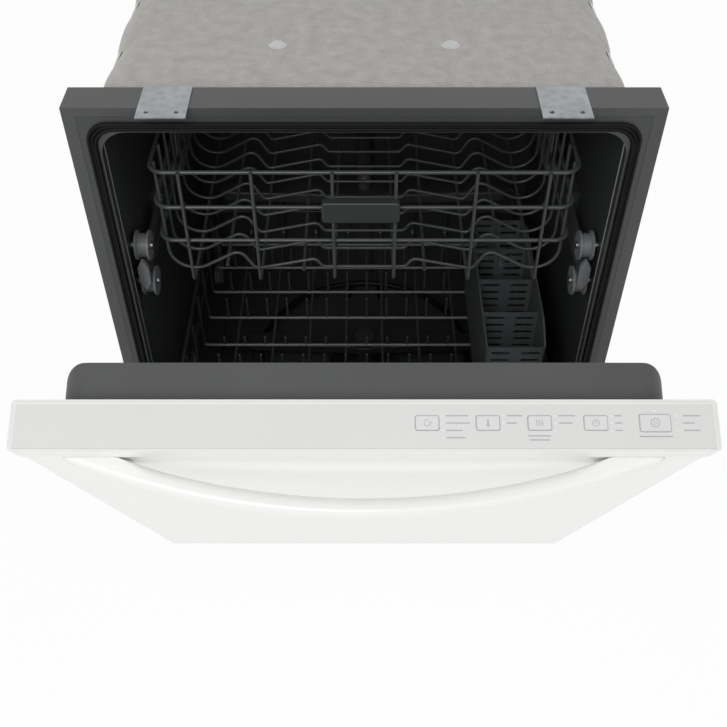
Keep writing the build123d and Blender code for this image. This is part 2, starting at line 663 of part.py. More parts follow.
# Bow handle: a rounded bar that stands off the panel in one shallow arc and runs out into it at both ends
BOW_RADIUS = (HANDLE_SPAN ** 2 / 4 + HANDLE_PROUD ** 2) / (2 * HANDLE_PROUD)
GAP_RADIUS = (HANDLE_GAP_SPAN ** 2 / 4 + HANDLE_GAP ** 2) / (2 * HANDLE_GAP)
BOW_CENTRE = door_plan.from_local_coords(Vector(0, BOW_RADIUS - FACE_OUT - HANDLE_PROUD, 0))

with BuildPart() as door_handle:
    with BuildSketch(Plane(origin=BOW_CENTRE, x_dir=INWARD, z_dir=(1, 0, 0))):
        with Locations((BOW_RADIUS - HANDLE_PROUD, HANDLE_TOP - HANDLE_HEIGHT / 2)):
            RectangleRounded(2 * HANDLE_PROUD, HANDLE_HEIGHT, HANDLE_ROUNDING)
    revolve(axis=Axis(BOW_CENTRE, UPWARD))
    split(bisect_by=door_front.offset(FACE_OUT), keep=Keep.TOP)
    split(bisect_by=door_side.offset(HANDLE_SPAN / 2 - HANDLE_END), keep=Keep.BOTTOM)
    split(bisect_by=door_side.offset(HANDLE_END - HANDLE_SPAN / 2), keep=Keep.TOP)
    with BuildSketch(door_plan.offset(HANDLE_TOP)):
        with Locations((0, GAP_RADIUS - FACE_OUT - HANDLE_GAP)):
            Circle(GAP_RADIUS)
    extrude(amount=-HANDLE_HEIGHT, mode=Mode.SUBTRACT)
save("door_handle", door_handle.part)

# Inner door: a moulded liner with a raised plateau that closes the tub opening
CONSOLE_BACK = CONSOLE_DEPTH - FACE_OUT
LINER_BACK = CONSOLE_BACK + LINER_WALL
PLATEAU_FACE = LINER_BACK + PLATEAU_DEPTH
PLATEAU_TOP = DOOR_TOP - PLATEAU_DROP
LINER_TOP = DOOR_TOP - LINER_HEAD
LINER_FOOT = DOOR_FOOT + DOOR_SHEET + LINER_GAP
HALF_PLATEAU = PLATEAU_WIDTH / 2
DISPENSER_MID = DISPENSER_RISE
VENT_MID = DOOR_TOP - VENT_DROP
CUP_X = -DISPENSER_WIDTH / 4
RINSE_X = DISPENSER_WIDTH / 4


def plateau(inset):
    """The raised middle of the liner, square at its base and rounded on the tub side."""
    half = HALF_PLATEAU - inset
    with BuildPart() as piece:
        with BuildSketch(door_plan.offset(PLATEAU_FOOT + inset)):
            with BuildLine():
                FilletPolyline(
                    (-half, LINER_BACK),
                    (-half, PLATEAU_FACE - inset),
                    (half, PLATEAU_FACE - inset),
                    (half, LINER_BACK),
                    radius=PLATEAU_CORNER - inset,
                )
                Line((half, LINER_BACK), (-half, LINER_BACK))
            make_face()
        extrude(amount=PLATEAU_TOP - PLATEAU_FOOT - 2 * inset)
        with BuildSketch(door_front):
            with Locations((0, (PLATEAU_TOP + PLATEAU_FOOT) / 2)):
                RectangleRounded(2 * half, PLATEAU_TOP - PLATEAU_FOOT - 2 * inset, PLATEAU_HEAD_CORNER - inset)
        extrude(amount=PLATEAU_DEPTH, both=True, mode=Mode.INTERSECT)
    return piece.part


with BuildPart() as door_liner:
    with Locations(door_plan):
        block((-LINER_WIDTH / 2, LINER_WIDTH / 2), (CONSOLE_BACK, LINER_BACK), (LINER_FOOT, LINER_TOP))
    add(plateau(0))
    add(plateau(LINER_WALL), mode=Mode.SUBTRACT)
    with Locations(door_plan):
        half_hollow = HALF_PLATEAU - LINER_WALL
        block((-half_hollow, half_hollow), (CONSOLE_BACK, LINER_BACK + LINER_WALL),
              (PLATEAU_FOOT + LINER_WALL, PLATEAU_TOP - LINER_WALL), Mode.SUBTRACT)
        half_pocket = DISPENSER_WIDTH / 2 + SEAT_GAP
        pocket_rise = DISPENSER_HEIGHT / 2 + SEAT_GAP
        block((-half_pocket, half_pocket), (PLATEAU_FACE - LINER_WALL, PLATEAU_FACE),
              (DISPENSER_MID - pocket_rise, DISPENSER_MID + pocket_rise), Mode.SUBTRACT)
        with Locations((VENT_X, PLATEAU_FACE, VENT_MID)):
            Cylinder(VENT_RADIUS - VENT_FACE, 2 * LINER_WALL, rotation=(90, 0, 0), mode=Mode.SUBTRACT)
save("door_liner", door_liner.part)


# Hinge arms: steel straps screwed inside the panel's sides, with an eye on the hinge pin
def hinge_arm(side):
    """One strap up the side of the door with a nose that reaches back to the hinge."""
    strap_front = -FACE_OUT + 2 * DOOR_SHEET
    with BuildPart() as piece:
        with BuildSketch(door_side.offset(side * ARM_INNER)):
            with BuildLine():
                Polyline(
                    (strap_front, -HINGE_ARM_DROP),
                    (strap_front + HINGE_ARM_WIDTH, -HINGE_ARM_DROP),
                    (strap_front + HINGE_ARM_WIDTH, -HINGE_BOSS_RADIUS),
                    (0, -HINGE_BOSS_RADIUS),
                    (0, HINGE_BOSS_RADIUS),
                    (strap_front + HINGE_ARM_WIDTH, HINGE_BOSS_RADIUS),
                    (strap_front + HINGE_ARM_WIDTH, HINGE_ARM_RISE),
                    (strap_front, HINGE_ARM_RISE),
                    close=True,
                )
            make_face()
            Circle(HINGE_BOSS_RADIUS)
            Circle(HINGE_PIN_RADIUS + RUNNING_FIT, mode=Mode.SUBTRACT)
        extrude(amount=side * HINGE_ARM_SHEET)
    return piece.part


save_group("hinge_arms", [hinge_arm(-1), hinge_arm(1)])

# Console: a hollow white strip on the door's top edge with a recess for the overlay
CONSOLE_MID = (CONSOLE_BACK - FACE_OUT) / 2
CONSOLE_BREADTH = CONSOLE_DEPTH + CONSOLE_LIP
CONSOLE_CENTRE = CONSOLE_BACK - CONSOLE_BREADTH / 2
RECESS_FLOOR = DOOR_TOP - OVERLAY_THICKNESS
CONSOLE_INNER_TOP = RECESS_FLOOR - CONSOLE_WALL
BOARD_TOP = DOOR_TOP - BOARD_DROP
BOARD_X = (DOOR_WIDTH / 2 - CONSOLE_WALL - SIDE_PLAY - BOARD_LENGTH, DOOR_WIDTH / 2 - CONSOLE_WALL - SIDE_PLAY)
BOARD_POSTS = [
    (x, CONSOLE_MID + y)
    for x in (BOARD_X[0] + 2 * BOARD_POST_RADIUS, BOARD_X[1] - 2 * BOARD_POST_RADIUS)
    for y in (-BOARD_BREADTH / 2 + BOARD_POST_RADIUS, BOARD_BREADTH / 2 - BOARD_POST_RADIUS)
]
BUTTONS = [(x, BUTTON_LENGTH, BUTTON_BREADTH) for x in BUTTON_X] + [(START_X, START_LENGTH, START_BREADTH)]


def button_cuts(play):
    """Openings for the five buttons in the sketch in use."""
    for x, length, breadth in BUTTONS:
        with Locations((x, CONSOLE_MID)):
            RectangleRounded(length + 2 * play, breadth + 2 * play, 2 + play)


with BuildPart(door_plan) as console:
    with BuildSketch(door_plan.offset(DOOR_TOP)):
        with Locations((0, CONSOLE_CENTRE)):
            RectangleRounded(DOOR_WIDTH, CONSOLE_BREADTH, CONSOLE_EDGE_RADIUS)
    extrude(amount=-CONSOLE_HEIGHT)
    with BuildSketch(door_plan.offset(DOOR_TOP)):
        with Locations((0, CONSOLE_CENTRE)):
            RectangleRounded(DOOR_WIDTH - 2 * OVERLAY_INSET, CONSOLE_BREADTH - 2 * OVERLAY_INSET, CONSOLE_EDGE_RADIUS)
    extrude(amount=-OVERLAY_THICKNESS, mode=Mode.SUBTRACT)
    block((-DOOR_WIDTH / 2 + CONSOLE_WALL, DOOR_WIDTH / 2 - CONSOLE_WALL),
          (-FACE_OUT + CONSOLE_WALL, CONSOLE_BACK - CONSOLE_WALL),
          (DOOR_TOP - CONSOLE_HEIGHT, CONSOLE_INNER_TOP), Mode.SUBTRACT)
    with BuildSketch(door_plan.offset(RECESS_FLOOR)):
        button_cuts(SEAT_GAP)
    extrude(amount=-CONSOLE_WALL, mode=Mode.SUBTRACT)
    with BuildSketch(door_plan.offset(BOARD_TOP)):
        with Locations(*BOARD_POSTS):
            Circle(BOARD_POST_RADIUS)
    extrude(amount=CONSOLE_INNER_TOP - BOARD_TOP)
save("console", console.part)

# Indicator lights beside the buttons, set into the overlay
LIGHT_COUNTS = (4, 2, 3, 3)
LIGHTS = [
    (x + LIGHT_OFFSET, CONSOLE_MID + (1 - row) * LIGHT_STEP)
    for x, count in zip(BUTTON_X, LIGHT_COUNTS)
    for row in range(count)
]
LIGHTS += [(START_X + START_LENGTH / 2 + BUTTON_FLANGE * 5, CONSOLE_MID + (1 - row) * LIGHT_STEP) for row in range(3)]
LIGHTS += [(START_X, CONSOLE_MID + START_BREADTH / 2 + LIGHT_STEP / 2)]

lights = []
for x, y in LIGHTS:
    with BuildPart() as light:
        with BuildSketch(door_plan.offset(RECESS_FLOOR)):
            with Locations((x, y)):
                Circle(LIGHT_RADIUS)
        extrude(amount=OVERLAY_THICKNESS)
    lights.append(light.part)
save_group("indicator_lights", lights)

# Overlay: a thin grey sheet in the console's recess
with BuildPart() as overlay:
    with BuildSketch(door_plan.offset(RECESS_FLOOR)):
        with Locations((0, CONSOLE_CENTRE)):
            RectangleRounded(DOOR_WIDTH - 2 * OVERLAY_INSET - SEAT_GAP, CONSOLE_BREADTH - 2 * OVERLAY_INSET - SEAT_GAP,
                             CONSOLE_EDGE_RADIUS)
        with Locations(*LIGHTS):
            Circle(LIGHT_RADIUS + RUNNING_FIT, mode=Mode.SUBTRACT)
        for x, length, breadth in BUTTONS:
            with Locations((x, CONSOLE_MID)):
                RectangleRounded(length + 2 * SEAT_GAP, breadth + 2 * SEAT_GAP, 2 + SEAT_GAP, mode=Mode.SUBTRACT)
    extrude(amount=OVERLAY_THICKNESS)
save("console_overlay", overlay.part)

# Buttons: caps through the overlay, kept in by a flange under the console's top wall
FLANGE_UNDER = CONSOLE_INNER_TOP - SEAT_GAP
for number, (x, length, breadth) in enumerate(BUTTONS, start=1):
    with BuildPart() as button:
        with BuildSketch(door_plan.offset(FLANGE_UNDER)):
            with Locations((x, CONSOLE_MID)):
                RectangleRounded(length, breadth, 2)
        extrude(amount=DOOR_TOP + BUTTON_PROUD - FLANGE_UNDER)
        with BuildSketch(door_plan.offset(FLANGE_UNDER)):
            with Locations((x, CONSOLE_MID)):
                RectangleRounded(length + 2 * BUTTON_FLANGE, breadth + 2 * BUTTON_FLANGE, 2)
        extrude(amount=-BUTTON_FLANGE)
    save(f"button_{number}", button.part)

# Control board under the console's top wall, with one switch under each button
SWITCH_TOP = FLANGE_UNDER - BUTTON_FLANGE - BUTTON_TRAVEL - SEAT_GAP

with BuildPart(door_plan) as board:
    block(BOARD_X, (CONSOLE_MID - BOARD_BREADTH / 2, CONSOLE_MID + BOARD_BREADTH / 2),
          (BOARD_TOP - BOARD_THICKNESS, BOARD_TOP))
    for x, length, breadth in BUTTONS:
        block((x - BUTTON_BREADTH / 4, x + BUTTON_BREADTH / 4),
              (CONSOLE_MID - BUTTON_BREADTH / 4, CONSOLE_MID + BUTTON_BREADTH / 4), (BOARD_TOP, SWITCH_TOP))
save("control_board", board.part)

# Detergent dispenser: a moulded housing in the plateau with a cup and a rinse-aid filler
DISPENSER_OUT = PLATEAU_FACE + DISPENSER_FACE
CUP_HINGE = (CUP_X, DISPENSER_OUT + LID_BARREL_RADIUS + SEAT_GAP, DISPENSER_MID + CUP_HEIGHT / 2 + 2 * LID_BARREL_RADIUS)
EAR_INNER = CUP_WIDTH / 2 + SIDE_PLAY
EAR_WIDTH = 2 * LID_BARREL_RADIUS

with BuildPart(door_plan) as dispenser:
    block((-DISPENSER_WIDTH / 2 - 5, DISPENSER_WIDTH / 2 + 5), (PLATEAU_FACE, DISPENSER_OUT),
          (DISPENSER_MID - DISPENSER_HEIGHT / 2 - 5, DISPENSER_MID + DISPENSER_HEIGHT / 2 + 5))
    block((-DISPENSER_WIDTH / 2, DISPENSER_WIDTH / 2), (PLATEAU_FACE - DISPENSER_DEPTH, PLATEAU_FACE),
          (DISPENSER_MID - DISPENSER_HEIGHT / 2, DISPENSER_MID + DISPENSER_HEIGHT / 2))
    block((CUP_X - CUP_WIDTH / 2 + LINER_WALL, CUP_X + CUP_WIDTH / 2 - LINER_WALL),
          (PLATEAU_FACE - DISPENSER_DEPTH + LINER_WALL, DISPENSER_OUT),
          (DISPENSER_MID - CUP_HEIGHT / 2 + LINER_WALL, DISPENSER_MID + CUP_HEIGHT / 2 - LINER_WALL), Mode.SUBTRACT)
    for side in SIDES:
        ear = (CUP_X + side * EAR_INNER, CUP_X + side * (EAR_INNER + EAR_WIDTH))
        block(ear, (DISPENSER_OUT, CUP_HINGE[1] + LID_BARREL_RADIUS),
              (CUP_HINGE[2] - LID_BARREL_RADIUS, CUP_HINGE[2] + LID_BARREL_RADIUS))
    with Locations(CUP_HINGE):
        Cylinder(LID_PIN_RADIUS, 2 * EAR_INNER + EAR_WIDTH, rotation=(0, 90, 0))
    with Locations((RINSE_X, DISPENSER_OUT, DISPENSER_MID)):
        Cylinder(RINSE_CAP_RADIUS, 2 * VENT_FACE, rotation=(90, 0, 0))
    with Locations((RINSE_X, DISPENSER_OUT + VENT_FACE, DISPENSER_MID)):
        Box(2 * RINSE_CAP_RADIUS - 8, 2 * VENT_FACE, 2 * LID_BARREL_RADIUS)
save("dispenser_housing", dispenser.part)

with BuildPart(door_plan) as dispenser_lid:
    block((CUP_X - CUP_WIDTH / 2, CUP_X + CUP_WIDTH / 2), (CUP_HINGE[1] - LID_BARREL_RADIUS, CUP_HINGE[1]),
          (DISPENSER_MID - CUP_HEIGHT / 2, CUP_HINGE[2]))
    with Locations(CUP_HINGE):
        Cylinder(LID_BARREL_RADIUS, CUP_WIDTH, rotation=(0, 90, 0))
        Cylinder(LID_PIN_RADIUS + RUNNING_FIT, CUP_WIDTH, rotation=(0, 90, 0), mode=Mode.SUBTRACT)
save("dispenser_lid", dispenser_lid.part)

# Vent: a round grille in the plateau
with BuildPart(door_plan) as door_vent:
    with Locations((VENT_X, PLATEAU_FACE + VENT_FACE / 2, VENT_MID)):
        Cylinder(VENT_RADIUS, VENT_FACE, rotation=(90, 0, 0))
    slat_pitch = 2 * (VENT_RADIUS - 2 * VENT_FACE) / VENT_SLATS
    for row in range(VENT_SLATS):
        height = VENT_MID + (row - (VENT_SLATS - 1) / 2) * slat_pitch
        reach = math.sqrt((VENT_RADIUS - VENT_FACE) ** 2 - (abs(height - VENT_MID) + slat_pitch / 4) ** 2) - VENT_FACE
        block((VENT_X - reach, VENT_X + reach), (PLATEAU_FACE, PLATEAU_FACE + VENT_FACE),
              (height - slat_pitch / 4, height + slat_pitch / 4), Mode.SUBTRACT)
save("door_vent", door_vent.part)

# Latch plate on the door and the strike block under the tub's ceiling
with BuildPart(door_plan) as door_latch:
    latch_top = PLATEAU_TOP - LATCH_DROP + LATCH_HEIGHT
    block((-LATCH_WIDTH / 2, LATCH_WIDTH / 2), (PLATEAU_FACE, PLATEAU_FACE + LATCH_PLATE),
          (latch_top - LATCH_HEIGHT, latch_top))
    block((-LATCH_WIDTH / 4, LATCH_WIDTH / 4), (PLATEAU_FACE, PLATEAU_FACE + LATCH_PLATE),
          (latch_top - LATCH_HEIGHT * 0.75, latch_top - LATCH_HEIGHT / 4), Mode.SUBTRACT)
save("door_latch", door_latch.part)

STRIKE_FRONT = PLATEAU_FACE + HINGE_SETBACK + LATCH_PLATE + 2 * SIDE_PLAY
with BuildPart(machine) as door_strike:
    block((-LATCH_WIDTH / 2, LATCH_WIDTH / 2), (STRIKE_FRONT, STRIKE_FRONT + LATCH_WIDTH / 2),
          (TUB_CEILING - LATCH_HEIGHT / 2, TUB_CEILING))
    block((-LATCH_WIDTH / 5, LATCH_WIDTH / 5), (STRIKE_FRONT, STRIKE_FRONT + LATCH_WIDTH / 4),
          (TUB_CEILING - LATCH_HEIGHT, TUB_CEILING))
save("door_strike", door_strike.part)

# Liner screws down both sides of the inner door, outside the plateau
LINER_SCREW_X = (HALF_PLATEAU + LINER_WIDTH / 2) / 2
liner_screws = []
for side in SIDES:
    for share in (0.1, 0.37, 0.63, 0.9):
        rise = PLATEAU_FOOT + share * (PLATEAU_TOP - PLATEAU_FOOT)
        seat = door_plan.from_local_coords(Vector(side * LINER_SCREW_X, LINER_BACK, rise))
        head = tuple(-INWARD)
        liner_screws.append(turned(seat, head, (
            (0, 0), (0, SCREW_HEAD_RADIUS), (-0.4, SCREW_HEAD_RADIUS), (-0.7, SCREW_HEAD_RADIUS - 1), (-0.7, 0))))
save_group("liner_screws", liner_screws)

# Tub rollers: grooved wheels on pins in both side walls, one pair each side, with the rail between
ROLLER_OUTER = HALF_INNER - ROLLER_INSET
ROLLER_FLANK = (ROLLER_WIDTH - ROLLER_GROOVE_WIDTH) / 2
ROLLER_OUTLINE = (
    (0, ROLLER_PIN_RADIUS + RUNNING_FIT),
    (0, ROLLER_RADIUS),
    (ROLLER_FLANK - 1, ROLLER_RADIUS),
    (ROLLER_FLANK, ROLLER_GROOVE_RADIUS),
    (ROLLER_FLANK + ROLLER_GROOVE_WIDTH, ROLLER_GROOVE_RADIUS),
    (ROLLER_WIDTH - ROLLER_FLANK + 1, ROLLER_RADIUS),
    (ROLLER_WIDTH, ROLLER_RADIUS),
    (ROLLER_WIDTH, ROLLER_PIN_RADIUS + RUNNING_FIT),
)
ROLLER_PIN_OUTLINE = (
    (0, 0),
    (0, 2 * ROLLER_PIN_RADIUS),
    (ROLLER_INSET - SIDE_PLAY, 2 * ROLLER_PIN_RADIUS),
    (ROLLER_INSET - SIDE_PLAY, ROLLER_PIN_RADIUS),
    (ROLLER_INSET + ROLLER_WIDTH + SEAT_GAP, ROLLER_PIN_RADIUS),
    (ROLLER_INSET + ROLLER_WIDTH + SEAT_GAP, 1.6 * ROLLER_PIN_RADIUS),
    (ROLLER_INSET + ROLLER_WIDTH + 2.5, 1.6 * ROLLER_PIN_RADIUS),
    (ROLLER_INSET + ROLLER_WIDTH + 2.5, 0),
)
roller_pins = []
for side, hand in ((-1, "left"), (1, "right")):
    for height, level in ((ROLLER_UPPER, "upper"), (ROLLER_LOWER, "lower")):
        seat = at(side * ROLLER_OUTER, ROLLER_SETBACK, height)
        save(f"tub_roller_{level}_{hand}", turned(seat, (-side, 0, 0), ROLLER_OUTLINE))
        roller_pins.append(turned(at(side * HALF_INNER, ROLLER_SETBACK, height), (-side, 0, 0), ROLLER_PIN_OUTLINE))
save_group("roller_pins", roller_pins)

# Rack rails: slotted bars that run between the rollers and through a guide on each wall
RAIL_MID = (ROLLER_UPPER + ROLLER_LOWER) / 2
RAIL_HEIGHT = ROLLER_UPPER - ROLLER_LOWER - 2 * ROLLER_GROOVE_RADIUS - 2 * SEAT_GAP
RAIL_OUTER = ROLLER_OUTER - ROLLER_FLANK - SIDE_PLAY
RAIL_INNER = RAIL_OUTER - ROLLER_GROOVE_WIDTH + 2 * SIDE_PLAY
RAIL_FRONT = ROLLER_SETBACK - ROLLER_RADIUS - 0.5
CAP_MID = (RAIL_OUTER + RAIL_INNER) / 2

rails = []
caps = []
guides = []
for side in SIDES:
    with BuildPart(machine) as rail:
        block((side * RAIL_INNER, side * RAIL_OUTER), (RAIL_FRONT, RAIL_BACK),
              (RAIL_MID - RAIL_HEIGHT / 2, RAIL_MID + RAIL_HEIGHT / 2))
        block((side * RAIL_INNER, side * (RAIL_INNER + RAIL_SLOT_DEPTH)), (RAIL_FRONT, RAIL_BACK),
              (RAIL_MID - RAIL_SLOT_HEIGHT / 2, RAIL_MID + RAIL_SLOT_HEIGHT / 2), Mode.SUBTRACT)
    rails.append(rail.part)
    with BuildPart() as cap:
        with BuildSketch(machine_front.offset(-RAIL_FRONT)) as face_sketch:
            with Locations((side * CAP_MID, RAIL_MID)):
                Polygon(
                    (0, RAIL_CAP_HEIGHT / 2),
                    (-RAIL_CAP_WIDTH / 2, RAIL_CAP_EDGE / 2),
                    (-RAIL_CAP_WIDTH / 2, -RAIL_CAP_EDGE / 2),
                    (0, -RAIL_CAP_HEIGHT / 2),
                    (RAIL_CAP_WIDTH / 2, -RAIL_CAP_EDGE / 2),
                    (RAIL_CAP_WIDTH / 2, RAIL_CAP_EDGE / 2),
                    align=None,
                )
            fillet(face_sketch.vertices(), RAIL_CAP_CORNER)
        extrude(amount=RAIL_CAP_THICKNESS)
    caps.append(cap.part)
    with BuildPart(machine) as guide:
        depths = (GUIDE_SETBACK, GUIDE_SETBACK + GUIDE_LENGTH)
        pad_gap = RAIL_HEIGHT / 2 + SEAT_GAP
        block((side * RAIL_INNER, side * HALF_INNER), depths, (RAIL_MID - pad_gap - GUIDE_PAD, RAIL_MID + pad_gap + GUIDE_PAD))
        block((side * RAIL_INNER, side * (RAIL_OUTER + SEAT_GAP)), depths, (RAIL_MID - pad_gap, RAIL_MID + pad_gap), Mode.SUBTRACT)
    guides.append(guide.part)
save_group("rack_rails", rails)
save_group("rail_caps", caps)
save_group("rail_guides", guides)

# Upper rack: coated wire, with wavy cross wires that turn up at the sides and lengthwise wires below them
CROSS_X = UPPER_HALF_WIDTH - RIM_WIRE / 2 - WIRE / 2
UPRIGHT_FRONT = UPPER_FRONT - RIM_WIRE / 2 - WIRE / 2
UPRIGHT_BACK = UPPER_BACK + RIM_WIRE / 2 + WIRE / 2
RACK_TOP = UPPER_TOP_RIM + RIM_WIRE / 2
HANGER_TOP = UPPER_RIM + RIM_WIRE / 2
WIRE_SEAT = 1.03 * WIRE


FALL = math.atan2(WAVE[-1][1] - WAVE_CORNER, CROSS_X - WAVE[-1][0])
TROUGH_X = CROSS_X - SIDE_BEND
TROUGH = WAVE_CORNER + SIDE_BEND * (math.tan((math.pi / 2 + FALL) / 2) - 1)


def wave_height(x):
    """Height of a cross wire above the rack floor at a distance from the middle, clear of its bends."""
    points = ((0.0, WAVE[0][1]),) + WAVE + ((CROSS_X, WAVE_CORNER),)
    for (x0, z0), (x1, z1) in zip(points, points[1:]):
        if x0 <= x <= x1 and x < TROUGH_X:
            return z0 + (z1 - z0) * (x - x0) / (x1 - x0)
    return TROUGH


def cross_wire(depth):
    """One wavy wire across the rack floor and up both sides."""
    right = [at(x, depth, UPPER_FLOOR + z) for x, z in WAVE]
    right += [at(CROSS_X, depth, UPPER_FLOOR + WAVE_CORNER), at(CROSS_X, depth, RACK_TOP)]
    left = [Vector(-point.X, point.Y, point.Z) for point in reversed(right)]
    bends = [WIRE_BEND, WIRE_BEND, WIRE_BEND, HUMP_BEND, SIDE_BEND]
    return wire(left + right, WIRE, bends[::-1] + bends)


def long_wire(x):
    """One wire along the rack floor and up its front and back."""
    low = UPPER_FLOOR + wave_height(abs(x)) - WIRE_SEAT
    return wire([at(x, UPRIGHT_FRONT, RACK_TOP), at(x, UPRIGHT_FRONT, low), at(x, UPRIGHT_BACK, low),
                 at(x, UPRIGHT_BACK, RACK_TOP)], WIRE, WIRE_BEND)


def shelf_wire(x):
    """One straight wire under the humps, with a free end at the front."""
    low = UPPER_FLOOR + wave_height(abs(x)) - WIRE_SEAT
    length = UPPER_BACK - RIM_WIRE - SHELF_WIRE_START
    rod = ((0, 0), (0, WIRE / 2), (length, WIRE / 2), (length, 0))
    return turned(at(x, SHELF_WIRE_START, low), (0, 1, 0), rod)


upper_wires = [rim_loop(UPPER_HALF_WIDTH, UPPER_FRONT, UPPER_BACK, height) for height in (UPPER_TOP_RIM, UPPER_RIM, UPPER_SECOND_RIM)]
upper_wires += [cross_wire(CROSS_START + CROSS_PITCH * row) for row in range(CROSS_COUNT)]
upper_wires += [long_wire(side * x) for x in UPRIGHT_X + (TROUGH_X,) for side in SIDES]
upper_wires += [shelf_wire(side * x) for x in SHELF_WIRE_X for side in SIDES]
save_group("upper_rack", upper_wires)

# Rack handle: a moulded plate in front of the rim
with BuildPart(machine) as rack_handle:
    back = UPRIGHT_FRONT - WIRE / 2
    block((RACK_HANDLE_X - RACK_HANDLE_WIDTH / 2, RACK_HANDLE_X + RACK_HANDLE_WIDTH / 2),
          (back - RACK_HANDLE_THICKNESS, back), (UPPER_RIM + RACK_HANDLE_LIFT - RACK_HANDLE_HEIGHT, UPPER_RIM + RACK_HANDLE_LIFT))
    fillet(rack_handle.edges().filter_by(Axis.Y), WIRE)
    fillet(rack_handle.faces().sort_by(Axis.Y)[0].edges(), WIRE / 2)
save("rack_handle", rack_handle.part)

# Rack hangers: moulded strips on the rack's sides with tongues that slide in the rails
HANGER_INNER = UPPER_HALF_WIDTH + RIM_WIRE / 2
TONGUE_REACH = RAIL_INNER + RAIL_SLOT_DEPTH - SEAT_GAP - RUNNING_FIT
TONGUE_HEIGHT = RAIL_SLOT_HEIGHT - 2 * SEAT_GAP
hangers = []
for side in SIDES:
    with BuildPart(machine) as hanger:
        strip = (side * HANGER_INNER, side * (HANGER_INNER + HANGER_SHEET))
        block(strip, (HANGER_FRONT, HANGER_BACK), (RAIL_MID - TONGUE_HEIGHT / 2, HANGER_TOP))
        for front in (HANGER_FRONT + RIM_WIRE, HANGER_BACK - HANGER_TONGUE):
            block((side * HANGER_INNER, side * TONGUE_REACH), (front, front + HANGER_TONGUE),
                  (RAIL_MID - TONGUE_HEIGHT / 2, RAIL_MID + TONGUE_HEIGHT / 2))
    hangers.append(hanger.part)
save_group("rack_hangers", hangers)

# Water feed of the middle spray arm: a tube under the rack with a stem for the arm
FEED_AXIS = UPPER_FLOOR - WIRE_SEAT - WIRE / 2 - FEED_RADIUS
STEM_FOOT = FEED_AXIS - FEED_RADIUS - 2 * SIDE_PLAY - 2 * ARM_HEIGHT / 2 - CAP_HEIGHT - SIDE_PLAY
UPPER_ARM_BASE = STEM_FOOT + CAP_HEIGHT + SEAT_GAP
FEED_BACK = UPPER_BACK

with BuildPart(machine) as middle_feed:
    with Locations((0, (SUMP_SETBACK + FEED_BACK) / 2, FEED_AXIS)):
        Cylinder(FEED_RADIUS, FEED_BACK - SUMP_SETBACK, rotation=(90, 0, 0))
    with BuildSketch(machine.offset(STEM_FOOT)):
        with Locations((0, SUMP_SETBACK)):
            Circle(STEM_RADIUS)
    extrude(amount=FEED_AXIS - STEM_FOOT)
    with BuildSketch(machine.offset(STEM_FOOT)):
        with Locations((0, SUMP_SETBACK)):
            Circle(STEM_RADIUS + CAP_OVERHANG)
    extrude(amount=CAP_HEIGHT)
    with Locations((0, SUMP_SETBACK, FEED_AXIS)):
        Sphere(FEED_RADIUS)
save("middle_feed_tube", middle_feed.part)


def spray_arm(radius, base, bore):
    """A flat arm that turns about the sump's axis, wide at the hub and narrow at its tips, with jets."""
    with BuildPart(machine) as piece:
        with BuildSketch(machine.offset(base)):
            with Locations((0, SUMP_SETBACK)):
                Circle(ARM_HUB_RADIUS)
            with BuildLine():
                tip = radius - ARM_TIP_WIDTH / 2
                front = SUMP_SETBACK - ARM_WIDTH / 2
                rear = SUMP_SETBACK + ARM_WIDTH / 2
                Polyline((-tip, SUMP_SETBACK - ARM_TIP_WIDTH / 2), (0, front), (tip, SUMP_SETBACK - ARM_TIP_WIDTH / 2))
                ThreePointArc((tip, SUMP_SETBACK - ARM_TIP_WIDTH / 2), (radius, SUMP_SETBACK),
                              (tip, SUMP_SETBACK + ARM_TIP_WIDTH / 2))
                Polyline((tip, SUMP_SETBACK + ARM_TIP_WIDTH / 2), (0, rear), (-tip, SUMP_SETBACK + ARM_TIP_WIDTH / 2))
                ThreePointArc((-tip, SUMP_SETBACK + ARM_TIP_WIDTH / 2), (-radius, SUMP_SETBACK),
                              (-tip, SUMP_SETBACK - ARM_TIP_WIDTH / 2))
            make_face()
        extrude(amount=ARM_HEIGHT)
        fillet(piece.faces().sort_by(Axis.Z)[-1].edges(), ARM_HEIGHT / 4)
        with BuildSketch(machine.offset(base)):
            with Locations((0, SUMP_SETBACK)):
                Circle(bore)
        extrude(amount=ARM_HEIGHT, mode=Mode.SUBTRACT)
        with BuildSketch(machine.offset(base + ARM_HEIGHT)):
            for side in SIDES:
                first = ARM_HUB_RADIUS + ARM_TIP_WIDTH
                pitch = (radius - ARM_TIP_WIDTH - first) / (JET_COUNT - 1)
                with Locations(*[(side * (first + pitch * jet), SUMP_SETBACK) for jet in range(JET_COUNT)]):
                    Circle(JET_RADIUS)
        extrude(amount=-ARM_HEIGHT / 2, mode=Mode.SUBTRACT)
    return piece.part


save("middle_spray_arm", spray_arm(UPPER_ARM_RADIUS, UPPER_ARM_BASE, STEM_RADIUS + RUNNING_FIT))
save("lower_spray_arm", spray_arm(LOWER_ARM_RADIUS, LOWER_ARM_BASE, TOWER_RADIUS + RUNNING_FIT))

